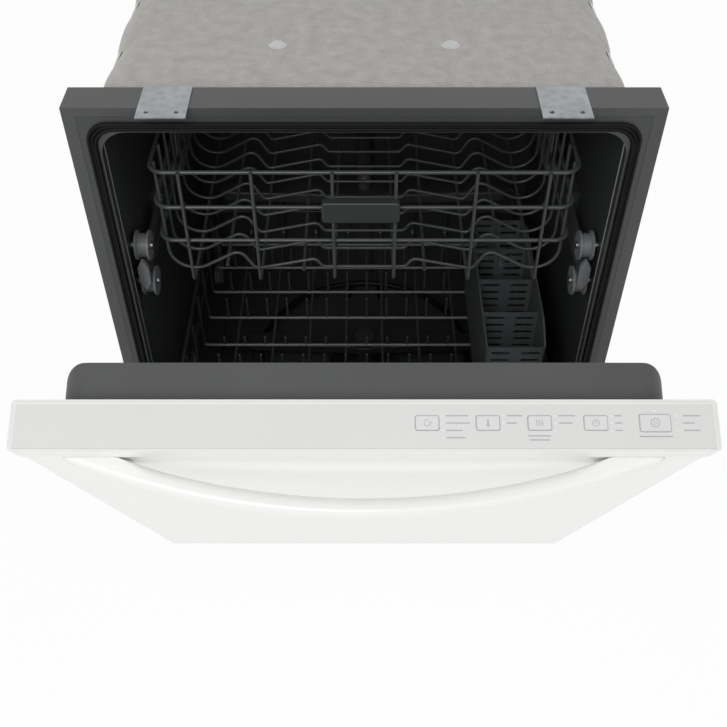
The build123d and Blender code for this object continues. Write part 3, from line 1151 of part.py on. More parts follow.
# Lower rack: coated wire with rows of tines on the cross wires
LOWER_LOW = LOWER_FLOOR - LOWER_WIRE
LOWER_RIM_HALF = LOWER_HALF_WIDTH + LOWER_WIRE / 2 + RIM_WIRE / 2
LOWER_UPRIGHT_FRONT = LOWER_FRONT - RIM_WIRE / 2 - LOWER_WIRE / 2
LOWER_UPRIGHT_BACK = LOWER_BACK + RIM_WIRE / 2 + LOWER_WIRE / 2
LOWER_TOP = LOWER_RIM + RIM_WIRE / 2
LOWER_CROSS_DEPTHS = [LOWER_CROSS_START + LOWER_CROSS_PITCH * row for row in range(LOWER_CROSS_COUNT)]
TINE_SEAT = LOWER_FLOOR + LOWER_WIRE / 2
BASKET_BACK = BASKET_FRONT + BASKET_LENGTH


def lower_cross(depth):
    """One wire across the rack floor and up both sides."""
    return wire([at(-LOWER_HALF_WIDTH, depth, LOWER_TOP), at(-LOWER_HALF_WIDTH, depth, LOWER_FLOOR),
                 at(LOWER_HALF_WIDTH, depth, LOWER_FLOOR), at(LOWER_HALF_WIDTH, depth, LOWER_TOP)],
                LOWER_WIRE, LOWER_BEND)


def lower_long(x):
    """One wire along the rack floor and up its front and back."""
    return wire([at(x, LOWER_UPRIGHT_FRONT, LOWER_TOP), at(x, LOWER_UPRIGHT_FRONT, LOWER_LOW),
                 at(x, LOWER_UPRIGHT_BACK, LOWER_LOW), at(x, LOWER_UPRIGHT_BACK, LOWER_TOP)],
                LOWER_WIRE, LOWER_BEND)


def tine(x, depth, height):
    """One pin that stands on a cross wire, with an eased tip."""
    return turned(at(x, depth, TINE_SEAT), (0, 0, 1), (
        (0, 0), (0, TINE_RADIUS), (height - TINE_RADIUS / 2, TINE_RADIUS), (height, TINE_RADIUS / 2), (height, 0)))


def tine_row(depth, height):
    """A row of tines along one cross wire, left out under the basket."""
    clear = BASKET_LEFT - 2 * TINE_RADIUS if depth < BASKET_BACK + TINE_RADIUS else TINE_REACH
    count = int((TINE_REACH + clear) // TINE_PITCH) + 1
    return [tine(-TINE_REACH + TINE_PITCH * place, depth, height) for place in range(count)]


lower_wires = [rim_loop(LOWER_RIM_HALF, LOWER_FRONT, LOWER_BACK, height) for height in (LOWER_SECOND_RIM, LOWER_RIM)]
lower_wires += [lower_cross(depth) for depth in LOWER_CROSS_DEPTHS]
lower_wires += [lower_long(LOWER_LONG_PITCH * (row - (LOWER_LONG_COUNT - 1) / 2)) for row in range(LOWER_LONG_COUNT)]
save_group("lower_rack", lower_wires)

tines = []
for row, depth in enumerate(LOWER_CROSS_DEPTHS[1:-1]):
    tines += tine_row(depth, TINE_SHORT if row == 1 else TINE_HEIGHT)
save_group("rack_tines", tines)

# Lower rack wheels on moulded brackets clipped outside the cross wires
BRACKET_INNER = LOWER_HALF_WIDTH + LOWER_WIRE / 2
BRACKET_OUTER = BRACKET_INNER + WHEEL_BRACKET_SHEET
WHEEL_AXIS = LEDGE_TOP + WHEEL_RADIUS + SEAT_GAP
WHEEL_DEPTHS = {"front": LOWER_CROSS_DEPTHS[1], "rear": LOWER_CROSS_DEPTHS[-1]}
WHEEL_OUTLINE = (
    (0, AXLE_RADIUS + RUNNING_FIT),
    (0, WHEEL_RADIUS - 1),
    (1, WHEEL_RADIUS),
    (WHEEL_WIDTH - 1, WHEEL_RADIUS),
    (WHEEL_WIDTH, WHEEL_RADIUS - 1),
    (WHEEL_WIDTH, AXLE_RADIUS + RUNNING_FIT),
)
wheel_brackets = []
for side, hand in ((-1, "left"), (1, "right")):
    for place, depth in WHEEL_DEPTHS.items():
        seat = at(side * (BRACKET_OUTER + SEAT_GAP), depth, WHEEL_AXIS)
        save(f"rack_wheel_{place}_{hand}", turned(seat, (side, 0, 0), WHEEL_OUTLINE))
        with BuildPart(machine) as bracket:
            plate = (side * BRACKET_INNER, side * BRACKET_OUTER)
            block(plate, (depth - WHEEL_BRACKET_WIDTH / 2, depth + WHEEL_BRACKET_WIDTH / 2),
                  (WHEEL_AXIS - 2 * AXLE_RADIUS, LOWER_SECOND_RIM - RIM_WIRE / 2))
            axle_end = BRACKET_OUTER + WHEEL_WIDTH + 2 * SEAT_GAP
            with Locations((side * (BRACKET_OUTER + axle_end) / 2, depth, WHEEL_AXIS)):
                Cylinder(AXLE_RADIUS, axle_end - BRACKET_OUTER, rotation=(0, 90, 0))
            with Locations((side * (axle_end + SIDE_PLAY / 2), depth, WHEEL_AXIS)):
                Cylinder(1.5 * AXLE_RADIUS, SIDE_PLAY, rotation=(0, 90, 0))
        wheel_brackets.append(bracket.part)
save_group("wheel_brackets", wheel_brackets)

# Silverware basket: a slotted box in cells, with walls drawn between them
BASKET_FOOT = TINE_SEAT + SEAT_GAP
BASKET_MID_X = BASKET_LEFT + BASKET_WIDTH / 2
BASKET_MID_Y = BASKET_FRONT + BASKET_LENGTH / 2
CELL_LENGTH = (BASKET_LENGTH - BASKET_WALL * (BASKET_CELLS + 1)) / BASKET_CELLS
CELL_WIDTH = BASKET_WIDTH - 2 * BASKET_WALL
BASKET_HEIGHT = BASKET_TOP - BASKET_FOOT
BASKET_RIGHT = BASKET_LEFT + BASKET_WIDTH
DIVIDER_TOP = BASKET_TOP - DIVIDER_DROP
GRILLE_MID = DIVIDER_TOP - GRILLE_DROP - GRILLE_PITCH * (GRILLE_ROWS - 1) / 2

with BuildPart(machine) as basket:
    block((BASKET_LEFT, BASKET_RIGHT), (BASKET_FRONT, BASKET_BACK), (BASKET_FOOT, BASKET_TOP))
    fillet(basket.edges().filter_by(Axis.Z), 2 * BASKET_WALL)
    chamfer(basket.edges().group_by(Axis.Z)[0], BASKET_EASE)
    with BuildSketch(machine.offset(BASKET_TOP)):
        with Locations((BASKET_MID_X, BASKET_MID_Y)):
            with GridLocations(1, CELL_LENGTH + BASKET_WALL, 1, BASKET_CELLS):
                RectangleRounded(CELL_WIDTH, CELL_LENGTH, BASKET_WALL)
    extrude(amount=-(BASKET_HEIGHT - BASKET_WALL), mode=Mode.SUBTRACT)
    block((BASKET_LEFT, BASKET_RIGHT - BASKET_WALL), (BASKET_FRONT, BASKET_BACK), (DIVIDER_TOP, BASKET_TOP), Mode.SUBTRACT)
    with BuildSketch(machine_side.offset(BASKET_RIGHT - BASKET_WALL)):
        for end, way in ((BASKET_FRONT, 1), (BASKET_BACK, -1)):
            with BuildLine():
                Polyline((end, DIVIDER_TOP), (end, BASKET_TOP), (end + way * 2 * DIVIDER_DROP, BASKET_TOP), close=True)
            make_face()
    extrude(amount=BASKET_WALL, mode=Mode.SUBTRACT)
    with BuildSketch(machine_front.offset(-BASKET_FRONT)):
        with Locations((BASKET_MID_X, GRILLE_MID)):
            with GridLocations(GRILLE_SPREAD, GRILLE_PITCH, 2, GRILLE_ROWS):
                SlotOverall(GRILLE_SLOT, SLOT_WIDTH)
    extrude(amount=-BASKET_LENGTH, mode=Mode.SUBTRACT)
    with BuildSketch(machine.offset(BASKET_FOOT)):
        for cell in range(BASKET_CELLS):
            cell_y = BASKET_MID_Y + (cell - (BASKET_CELLS - 1) / 2) * (CELL_LENGTH + BASKET_WALL)
            with Locations((BASKET_MID_X, cell_y)):
                with GridLocations(1, CELL_LENGTH / (FLOOR_SLOTS + 1), 1, FLOOR_SLOTS):
                    SlotOverall(FLOOR_SLOT, SLOT_WIDTH)
    extrude(amount=BASKET_WALL, mode=Mode.SUBTRACT)
save("silverware_basket", basket.part)

# Sump under the tub floor, with the tower that the lower spray arm turns on
SUMP_TOP = TUB_FLOOR - TUB_WALL
TOWER_TOP = LOWER_ARM_BASE + ARM_HEIGHT + SEAT_GAP

with BuildPart(machine) as sump:
    with BuildSketch(machine.offset(SUMP_BOTTOM)):
        with Locations((0, SUMP_SETBACK)):
            Circle(SUMP_RADIUS)
    extrude(amount=SUMP_TOP - SUMP_BOTTOM)
    with BuildSketch(machine.offset(SUMP_BOTTOM + SUMP_WALL)):
        with Locations((0, SUMP_SETBACK)):
            Circle(SUMP_RADIUS - SUMP_WALL)
    extrude(amount=SUMP_TOP - SUMP_BOTTOM - SUMP_WALL, mode=Mode.SUBTRACT)
    with BuildSketch(machine.offset(SUMP_BOTTOM)):
        with Locations((0, SUMP_SETBACK)):
            Circle(TOWER_RADIUS)
    extrude(amount=TOWER_TOP - SUMP_BOTTOM)
    with BuildSketch(machine.offset(TOWER_TOP)):
        with Locations((0, SUMP_SETBACK)):
            Circle(TOWER_RADIUS + CAP_OVERHANG)
    extrude(amount=CAP_HEIGHT)
save("sump", sump.part)

# Filter: a ring-shaped cup in the sump hole, turned a quarter to lift out
FILTER_OUTER = SUMP_HOLE_RADIUS - SIDE_PLAY
FILTER_INNER = TOWER_RADIUS + 2 * SIDE_PLAY
FILTER_FOOT = SUMP_BOTTOM + 4 * SUMP_WALL
FILTER_REST = TUB_FLOOR + SEAT_GAP
save("filter_cup", turned(at(0, SUMP_SETBACK, 0), (0, 0, 1), (
    (FILTER_FOOT, FILTER_INNER),
    (FILTER_FOOT, FILTER_OUTER),
    (FILTER_REST, FILTER_OUTER),
    (FILTER_REST, FILTER_FLANGE),
    (FILTER_REST + FILTER_WALL, FILTER_FLANGE),
    (FILTER_REST + FILTER_WALL, FILTER_OUTER - FILTER_WALL),
    (FILTER_FOOT + FILTER_WALL, FILTER_OUTER - FILTER_WALL),
    (FILTER_FOOT + FILTER_WALL, FILTER_INNER + FILTER_WALL),
    (FILTER_REST, FILTER_INNER + FILTER_WALL),
    (FILTER_REST, FILTER_INNER),
)))

# Pumps on both sides of the sump
NECK = SUMP_RADIUS + SEAT_GAP
PUMP_AXIS = SUMP_TOP - WASH_PUMP_RADIUS - 2 * SIDE_PLAY
save("wash_pump", turned(at(NECK, SUMP_SETBACK, PUMP_AXIS), (1, 0, 0), (
    (0, 0),
    (0, PUMP_NECK_RADIUS),
    (PUMP_NECK_RADIUS, PUMP_NECK_RADIUS),
    (PUMP_NECK_RADIUS, WASH_PUMP_RADIUS),
    (WASH_PUMP_LENGTH - 10, WASH_PUMP_RADIUS),
    (WASH_PUMP_LENGTH, WASH_PUMP_RADIUS - 10),
    (WASH_PUMP_LENGTH, 0),
)))

DRAIN_PORT_X = -(NECK + DRAIN_PUMP_LENGTH / 2)
DRAIN_PORT_START = SUMP_SETBACK
DRAIN_STOP = DRAIN_PUMP_RADIUS + DRAIN_COLLAR_REACH
DRAIN_FREE_LENGTH = DRAIN_PORT_LENGTH - DRAIN_STOP
with BuildPart() as drain_pump:
    add(turned(at(-NECK, SUMP_SETBACK, PUMP_AXIS), (-1, 0, 0), (
        (0, 0),
        (0, PUMP_NECK_RADIUS),
        (PUMP_NECK_RADIUS, PUMP_NECK_RADIUS),
        (PUMP_NECK_RADIUS, DRAIN_PUMP_RADIUS),
        (DRAIN_PUMP_LENGTH, DRAIN_PUMP_RADIUS),
        (DRAIN_PUMP_LENGTH, 0),
    )))
    with Locations(at(DRAIN_PORT_X, DRAIN_PORT_START + DRAIN_PORT_LENGTH / 2, PUMP_AXIS)):
        Cylinder(DRAIN_PORT_RADIUS, DRAIN_PORT_LENGTH, rotation=(90, 0, 0))
    with Locations(at(DRAIN_PORT_X, DRAIN_PORT_START + DRAIN_STOP / 2, PUMP_AXIS)):
        Cylinder(DRAIN_PORT_RADIUS + DRAIN_COLLAR, DRAIN_STOP, rotation=(90, 0, 0))
save("drain_pump", drain_pump.part)

# Feed pipe up the tub's back wall with a docking collar, and the sprinkler under the ceiling
with BuildPart(machine) as feed_pipe:
    block((-FEED_PIPE_WIDTH / 2, FEED_PIPE_WIDTH / 2), (TUB_INNER_DEPTH - FEED_PIPE_DEPTH, TUB_INNER_DEPTH),
          (TUB_FLOOR, FEED_AXIS + FEED_PIPE_WIDTH / 2))
    collar_front = FEED_BACK + SEAT_GAP
    collar_back = TUB_INNER_DEPTH - FEED_PIPE_DEPTH
    with Locations((0, (collar_front + collar_back) / 2, FEED_AXIS)):
        Cylinder(FEED_RADIUS, collar_back - collar_front, rotation=(90, 0, 0))

sprinkler = turned(at(0, SUMP_SETBACK, TUB_CEILING), (0, 0, -1), (
    (0, 0),
    (0, SPRINKLER_RADIUS),
    (SPRINKLER_HEIGHT / 2, SPRINKLER_RADIUS),
    (SPRINKLER_HEIGHT, SPRINKLER_RADIUS / 2),
    (SPRINKLER_HEIGHT, 0),
))
save_group("water_feed", [feed_pipe.part, sprinkler])

# Heater: a metal rod bent to a ring over the tub floor, with two legs through it
HEATER_HEIGHT = TUB_FLOOR + HEATER_RISE
with BuildPart(machine) as heater:
    with Locations((0, SUMP_SETBACK, HEATER_HEIGHT)):
        Torus(HEATER_RADIUS, HEATER_ROD)
    with BuildSketch(machine.offset(SUMP_TOP - HEATER_RISE)):
        with Locations((-HEATER_LEG_X, HEATER_LEG_DEPTH), (HEATER_LEG_X, HEATER_LEG_DEPTH)):
            Circle(HEATER_ROD - SEAT_GAP)
    extrude(amount=HEATER_HEIGHT - SUMP_TOP + HEATER_RISE)
save("heater_element", heater.part)


# Water valve and wiring box on the inner faces of the base, each with a port that faces the floor
BOX_DEPTHS = (BOX_SETBACK, BOX_SETBACK + BOX_DEPTH)
PORT_X = BASE_INNER - BOX_REACH + PORT_INSET
PORT_DEPTH = BOX_SETBACK + BOX_DEPTH / 2

with BuildPart(machine) as water_valve:
    block((-BASE_INNER, BOX_REACH - BASE_INNER), BOX_DEPTHS, (BOX_BOTTOM, BOX_BOTTOM + BOX_HEIGHT))
    with BuildSketch(machine.offset(BOX_BOTTOM)):
        with Locations((-PORT_X, PORT_DEPTH)):
            Circle(INLET_RADIUS)
    extrude(amount=INLET_LENGTH, mode=Mode.SUBTRACT)
save("water_valve", water_valve.part)

with BuildPart(machine) as wiring_box:
    block((BASE_INNER - BOX_REACH, BASE_INNER), BOX_DEPTHS, (BOX_BOTTOM, BOX_BOTTOM + BOX_HEIGHT))
    block((BASE_INNER - BOX_REACH + BOX_WALL, BASE_INNER - BOX_WALL),
          (BOX_DEPTHS[0] + BOX_WALL, BOX_DEPTHS[1] - BOX_WALL),
          (BOX_BOTTOM + BOX_WALL, BOX_BOTTOM + BOX_HEIGHT - BOX_WALL), Mode.SUBTRACT)
    with BuildSketch(machine.offset(BOX_BOTTOM)):
        with Locations((PORT_X, PORT_DEPTH)):
            Circle(KNOCKOUT_RADIUS)
    extrude(amount=BOX_WALL, mode=Mode.SUBTRACT)
save("wiring_box", wiring_box.part)
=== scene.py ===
"""Looks of a built-in dishwasher that stands with its door part open and its racks at home."""
import json
import math

import bmesh
import bpy
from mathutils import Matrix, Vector


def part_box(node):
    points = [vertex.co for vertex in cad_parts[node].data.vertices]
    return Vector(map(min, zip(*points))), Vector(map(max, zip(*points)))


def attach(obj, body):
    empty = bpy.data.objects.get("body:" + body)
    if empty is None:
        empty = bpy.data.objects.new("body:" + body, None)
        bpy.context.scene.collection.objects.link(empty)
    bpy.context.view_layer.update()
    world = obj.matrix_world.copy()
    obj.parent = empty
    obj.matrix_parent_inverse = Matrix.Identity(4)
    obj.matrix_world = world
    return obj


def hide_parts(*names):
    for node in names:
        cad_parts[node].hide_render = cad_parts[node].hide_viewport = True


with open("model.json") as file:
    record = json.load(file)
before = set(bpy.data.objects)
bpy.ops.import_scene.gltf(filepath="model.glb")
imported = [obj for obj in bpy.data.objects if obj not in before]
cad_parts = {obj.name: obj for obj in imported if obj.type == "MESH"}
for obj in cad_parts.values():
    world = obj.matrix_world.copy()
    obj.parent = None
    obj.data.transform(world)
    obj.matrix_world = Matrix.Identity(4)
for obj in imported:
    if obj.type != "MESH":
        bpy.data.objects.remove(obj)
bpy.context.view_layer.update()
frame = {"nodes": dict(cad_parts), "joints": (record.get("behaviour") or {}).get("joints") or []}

# Base: two folded sides and two cross rails of hot-dip galvanised sheet steel, spot welded.
# Galvanising leaves a dull grey metal with frosty crystals, the spangle, a few millimetres wide.
# The counter brackets and the wiring box are folded from the same sheet.
MM = 0.001
DARK_SHADE, LIGHT_SHADE, MIXED_SHADE = 6, 7, 2
nodes = frame["nodes"]


def linear(hex_colour):
    """sRGB hex to the linear colour that shaders take."""
    channels = [int(hex_colour[place:place + 2], 16) / 255 for place in (1, 3, 5)]
    return [c / 12.92 if c <= 0.04045 else ((c + 0.055) / 1.055) ** 2.4 for c in channels] + [1.0]


def add_node(tree, kind, inputs=(), **settings):
    """Adds one node with its settings; an input takes a value or another node's output."""
    made = tree.nodes.new(kind)
    for name, value in settings.items():
        setattr(made, name, value)
    for name, value in dict(inputs).items():
        if isinstance(value, bpy.types.NodeSocket):
            tree.links.new(value, made.inputs[name])
        else:
            made.inputs[name].default_value = value
    return made


def new_finish(name):
    """A new material, with its tree, its shader and the Object coordinates its patterns read."""
    material = bpy.data.materials.new(name)
    material.use_nodes = True
    tree = material.node_tree
    shader = tree.nodes["Principled BSDF"]
    place = add_node(tree, "ShaderNodeTexCoord").outputs["Object"]
    return material, tree, shader, place


def per_mm(size):
    """Texture scale for a pattern whose cells are that many millimetres wide."""
    return 1 / (size * MM)


def two_tone(tree, shader, factor, dark, light):
    """Base colour between two close shades; a Mix node's colour sockets go by number."""
    shades = add_node(tree, "ShaderNodeMix", {
        "Factor": factor, DARK_SHADE: linear(dark), LIGHT_SHADE: linear(light)}, data_type="RGBA")
    tree.links.new(shades.outputs[MIXED_SHADE], shader.inputs["Base Color"])


def roughness_between(tree, shader, factor, low, high):
    """Roughness that follows a pattern between two values."""
    spread = add_node(tree, "ShaderNodeMapRange", {"Value": factor, "To Min": low, "To Max": high})
    tree.links.new(spread.outputs["Result"], shader.inputs["Roughness"])


def relief(tree, shader, height, depth, strength):
    """Fine surface relief of a depth in millimetres."""
    bump = add_node(tree, "ShaderNodeBump", {
        "Height": height, "Distance": depth * MM, "Strength": strength})
    tree.links.new(bump.outputs["Normal"], shader.inputs["Normal"])


def dress(material, *names):
    """Gives CAD nodes their finish."""
    for name in names:
        for slot in nodes[name].material_slots:
            slot.material = material


def galvanised_steel():
    material, tree, shader, place = new_finish("galvanised_steel")
    spangle = add_node(tree, "ShaderNodeTexVoronoi", {"Vector": place, "Scale": per_mm(9)})
    haze = add_node(tree, "ShaderNodeTexNoise", {"Vector": place, "Scale": per_mm(60), "Detail": 4})
    blend = add_node(tree, "ShaderNodeMath", {
        0: spangle.outputs["Distance"], 1: haze.outputs["Fac"]}, operation="MULTIPLY")
    two_tone(tree, shader, blend.outputs[0], "#8E9294", "#C3C6C8")
    roughness_between(tree, shader, spangle.outputs["Distance"], low=0.34, high=0.52)
    shader.inputs["Metallic"].default_value = 0.9
    return material


GALVANISED = galvanised_steel()
dress(GALVANISED, "base_frame", "counter_brackets", "wiring_box")


# Feet, pins, screws and hinge arms: turned or stamped steel, zinc plated.
# Plating gives a bright grey metal, slightly cloudy, with a soft reflection.
def zinc_plated_steel():
    material, tree, shader, place = new_finish("zinc_plated_steel")
    cloud = add_node(tree, "ShaderNodeTexNoise", {"Vector": place, "Scale": per_mm(7), "Detail": 5})
    two_tone(tree, shader, cloud.outputs["Fac"], "#A5A8A9", "#C9CBCA")
    roughness_between(tree, shader, cloud.outputs["Fac"], low=0.28, high=0.42)
    shader.inputs["Metallic"].default_value = 1.0
    return material


ZINC = zinc_plated_steel()
dress(ZINC, "levelling_feet", "kick_screws", "hinge_pins", "hinge_arms", "roller_pins",
      "door_latch")


# Toe kick and spring cups: cold rolled steel under a black baked paint.
# Baked paint is satin, with the faint ripple that painters call orange peel.
def baked_paint(name, shades, rough, peel=2.4):
    material, tree, shader, place = new_finish(name)
    ripple = add_node(tree, "ShaderNodeTexNoise", {
        "Vector": place, "Scale": per_mm(peel), "Detail": 2})
    cloud = add_node(tree, "ShaderNodeTexNoise", {
        "Vector": place, "Scale": per_mm(140), "Detail": 3})
    two_tone(tree, shader, cloud.outputs["Fac"], *shades)
    roughness_between(tree, shader, cloud.outputs["Fac"], *rough)
    relief(tree, shader, ripple.outputs["Fac"], depth=0.04, strength=0.25)
    shader.inputs["IOR"].default_value = 1.5
    return material


BLACK_PAINT = baked_paint("black_baked_paint", ("#161617", "#1F1F20"), rough=(0.38, 0.5))
dress(BLACK_PAINT, "toe_kick", "hinge_spring_cups")


# Tub and its small fittings: injection moulded black polypropylene.
# The mould leaves a fine even grain, so the plastic is dark and satin with soft broad highlights.
# Real grain is finer than a pixel, so here and on the other mouldings it is drawn coarser, to show.
def moulded_plastic(name, shades, rough, grain=0.9, depth=0.05, strength=0.3):
    material, tree, shader, place = new_finish(name)
    pits = add_node(tree, "ShaderNodeTexNoise", {
        "Vector": place, "Scale": per_mm(grain), "Detail": 3})
    flow = add_node(tree, "ShaderNodeTexNoise", {"Vector": place, "Scale": per_mm(85), "Detail": 4})
    two_tone(tree, shader, flow.outputs["Fac"], *shades)
    roughness_between(tree, shader, flow.outputs["Fac"], *rough)
    relief(tree, shader, pits.outputs["Fac"], depth, strength)
    shader.inputs["IOR"].default_value = 1.49
    return material


TUB_BLACK = moulded_plastic("black_polypropylene", ("#383A3B", "#454748"), rough=(0.36, 0.5))
dress(TUB_BLACK, "tub", "door_strike", "rail_guides", "sump", "door_vent")


# Door seal: an extruded black rubber strip, pressed into the tub's flange and onto its lip.
# Two soft bulbs with a lower web between them meet the door.
# Rubber is darker and duller than the plastic round it, with a faint bloom.
BEND_STEPS, SECTION_SIDES = 10, 14


def extruded_rubber():
    material, tree, shader, place = new_finish("extruded_rubber")
    bloom = add_node(tree, "ShaderNodeTexNoise", {
        "Vector": place, "Scale": per_mm(30), "Detail": 5})
    two_tone(tree, shader, bloom.outputs["Fac"], "#0A0A0A", "#131313")
    roughness_between(tree, shader, bloom.outputs["Fac"], low=0.5, high=0.7)
    relief(tree, shader, bloom.outputs["Fac"], depth=0.1, strength=0.2)
    shader.inputs["Specular IOR Level"].default_value = 0.15
    return material


def swept_tree():
    """A round section along every path of the mesh, with its corners rounded."""
    tree = bpy.data.node_groups.new("swept_section", "GeometryNodeTree")
    face = tree.interface
    face.new_socket("Paths", in_out="INPUT", socket_type="NodeSocketGeometry")
    for size in ("Section Radius", "Corner Radius"):
        face.new_socket(size, in_out="INPUT", socket_type="NodeSocketFloat")
    face.new_socket("Finish", in_out="INPUT", socket_type="NodeSocketMaterial")
    face.new_socket("Strips", in_out="OUTPUT", socket_type="NodeSocketGeometry")
    given = add_node(tree, "NodeGroupInput").outputs
    path = add_node(tree, "GeometryNodeMeshToCurve", {"Mesh": given["Paths"]})
    bent = add_node(tree, "GeometryNodeFilletCurve", {
        "Curve": path.outputs[0], "Radius": given["Corner Radius"], "Count": BEND_STEPS},
        mode="POLY")
    ring = add_node(tree, "GeometryNodeCurvePrimitiveCircle", {
        "Resolution": SECTION_SIDES, "Radius": given["Section Radius"]})
    strip = add_node(tree, "GeometryNodeCurveToMesh", {
        "Curve": bent.outputs[0], "Profile Curve": ring.outputs[0], "Fill Caps": True})
    real = add_node(tree, "GeometryNodeRealizeInstances", {"Geometry": strip.outputs[0]})
    done = add_node(tree, "GeometryNodeSetMaterial", {
        "Geometry": real.outputs[0], "Material": given["Finish"]})
    add_node(tree, "NodeGroupOutput", {"Strips": done.outputs[0]})
    return tree


def run_tree(piece, tree, inputs):
    """Runs a geometry tree on a piece's mesh and keeps the result as a plain mesh."""
    modifier = piece.modifiers.new("grow", "NODES")
    modifier.node_group = tree
    for socket in tree.interface.items_tree:
        if socket.in_out == "INPUT" and socket.name in inputs:
            modifier[socket.identifier] = inputs[socket.name]
    seen = piece.evaluated_get(bpy.context.evaluated_depsgraph_get())
    done = bpy.data.meshes.new_from_object(seen)
    piece.modifiers.remove(modifier)
    piece.data = done
    done.name = piece.name
    return piece


def swept(name, tree, paths, **inputs):
    """A section swept along paths, each a list of places, kept as a plain mesh."""
    places, runs = [], []
    for path in paths:
        runs += [(len(places) + step, len(places) + step + 1) for step in range(len(path) - 1)]
        places += [tuple(place) for place in path]
    mesh = bpy.data.meshes.new(name)
    mesh.from_pydata(places, runs, [])
    piece = bpy.data.objects.new(name, mesh)
    bpy.context.collection.objects.link(piece)
    return run_tree(piece, tree, inputs)


SWEPT = swept_tree()
RUBBER = extruded_rubber()
seal_low, seal_high = (Vector(corner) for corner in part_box("tub_gasket"))
frame_low = Vector(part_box("front_frame")[0])
SEAL_WIDTH, SEAL_HEIGHT = 12 * MM, 4 * MM
BULB_RADIUS, BULB_INSET, WEB_SINK = 2.1 * MM, 3 * MM, 0.6 * MM
STRANDS = ((BULB_INSET, 0.0), (SEAL_WIDTH / 2, WEB_SINK), (SEAL_WIDTH - BULB_INSET, 0.0))
SEAL_BEND = 22 * MM
LIP_HALF = 266 * MM


def arch(inset, depth):
    """A path up one side of the opening, across its top and down the other side."""
    side, top = seal_high.x - inset, seal_high.z - inset
    return [Vector((-side, depth, frame_low.z)), Vector((-side, depth, top)),
            Vector((side, depth, top)), Vector((side, depth, frame_low.z))]


seal_paths = []
for inset, sink in STRANDS:
    seal_paths.append(arch(inset, seal_low.y + BULB_RADIUS + sink))
    lip_y, lip_z = seal_high.y - SEAL_HEIGHT + BULB_RADIUS + sink, seal_low.z + inset
    seal_paths.append([Vector((-LIP_HALF, lip_y, lip_z)), Vector((LIP_HALF, lip_y, lip_z))])
door_seal = swept("door_seal", SWEPT, seal_paths, **{
    "Section Radius": BULB_RADIUS, "Corner Radius": SEAL_BEND, "Finish": RUBBER})
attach(door_seal, "cabinet")
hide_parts("tub_gasket")

# Tub bead: the moulded step behind the flange, where the tub's polypropylene wall thickens.
# Its edge is drawn in pale grey, a painted highlight along the step.
BEAD_HIGHLIGHT = moulded_plastic("bead_highlight_polypropylene", ("#A3A5A7", "#B1B3B5"), rough=(0.3, 0.42))
BEAD_WALL, BEAD_SETBACK, BEAD_RADIUS = 276 * MM, 30.5 * MM, 0.8 * MM
BEAD_ABOVE_FOOT, BEAD_BELOW_SEAL = 40 * MM, 30 * MM
bead_y = frame_low.y + BEAD_SETBACK
bead_ends = (frame_low.z + BEAD_ABOVE_FOOT, seal_high.z - SEAL_WIDTH - BEAD_BELOW_SEAL)
bead_paths = [[Vector((side * BEAD_WALL, bead_y, end)) for end in bead_ends] for side in (-1, 1)]
tub_bead = swept("tub_bead", SWEPT, bead_paths, **{
    "Section Radius": BEAD_RADIUS, "Corner Radius": 0.0, "Finish": BEAD_HIGHLIGHT})
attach(tub_bead, "cabinet")

# Front frame: sheet steel folded to an arch round the opening, under a dark grey baked paint.
# The paint is satin like the toe kick's, with the same faint ripple.
FRAME_GREY = baked_paint("grey_baked_paint", ("#3E3F40", "#4A4B4C"), rough=(0.34, 0.46))
dress(FRAME_GREY, "front_frame")


# Sound blanket: bonded cotton and polyester felt, about 10 mm thick, pinned on by pressed studs.
# The studs pull it in, so it swells between them, and the felt shows flecks of many fibres.
def bonded_felt():
    material, tree, shader, place = new_finish("bonded_fibre_felt")
    flecks = add_node(tree, "ShaderNodeTexNoise", {
        "Vector": place, "Scale": per_mm(3.2), "Detail": 6, "Roughness": 0.7})
    cloud = add_node(tree, "ShaderNodeTexNoise", {
        "Vector": place, "Scale": per_mm(16), "Detail": 4})
    blend = add_node(tree, "ShaderNodeMath", {
        0: flecks.outputs["Fac"], 1: cloud.outputs["Fac"]}, operation="MULTIPLY")
    two_tone(tree, shader, blend.outputs[0], "#A3A19C", "#F0EEE8")
    relief(tree, shader, flecks.outputs["Fac"], depth=1.2, strength=0.6)
    shader.inputs["Roughness"].default_value = 0.95
    shader.inputs["Sheen Weight"].default_value = 0.3
    return material


FELT = bonded_felt()
FELT_THICKNESS, BLANKET_CORNER = 9.6 * MM, 42 * MM
STUD_ROWS, STUD_COLUMNS = 4, 9
STUD_DENT, DENT_SHARPNESS = 4.5 * MM, 3
AROUND_STEPS, PAD_STEPS = 180, 60
blanket_low, blanket_high = (Vector(corner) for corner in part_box("insulation_blanket"))


def arch_spot(along, depth):
    """A point on the felt over the sides and top, and the way it faces."""
    width = blanket_high.x - blanket_low.x
    rise = blanket_high.z - blanket_low.z - BLANKET_CORNER
    turn = BLANKET_CORNER * math.pi / 2
    flat = width - 2 * BLANKET_CORNER
    way = along * (2 * rise + 2 * turn + flat)
    y = blanket_low.y + depth * (blanket_high.y - FELT_THICKNESS - blanket_low.y)
    mirrored = way > rise + turn + flat / 2
    if mirrored:
        way = 2 * rise + 2 * turn + flat - way
    if way < rise:
        x, z, out = blanket_low.x, blanket_low.z + way, Vector((-1, 0, 0))
    elif way < rise + turn:
        angle = (way - rise) / BLANKET_CORNER
        out = Vector((-math.cos(angle), 0, math.sin(angle)))
        x = blanket_low.x + BLANKET_CORNER + BLANKET_CORNER * out.x
        z = blanket_high.z - BLANKET_CORNER + BLANKET_CORNER * out.z
    else:
        x, z = blanket_low.x + BLANKET_CORNER + way - rise - turn, blanket_high.z
        out = Vector((0, 0, 1))
    if mirrored:
        x, out = -x, Vector((-out.x, 0, out.z))
    return Vector((x, y, z)), out


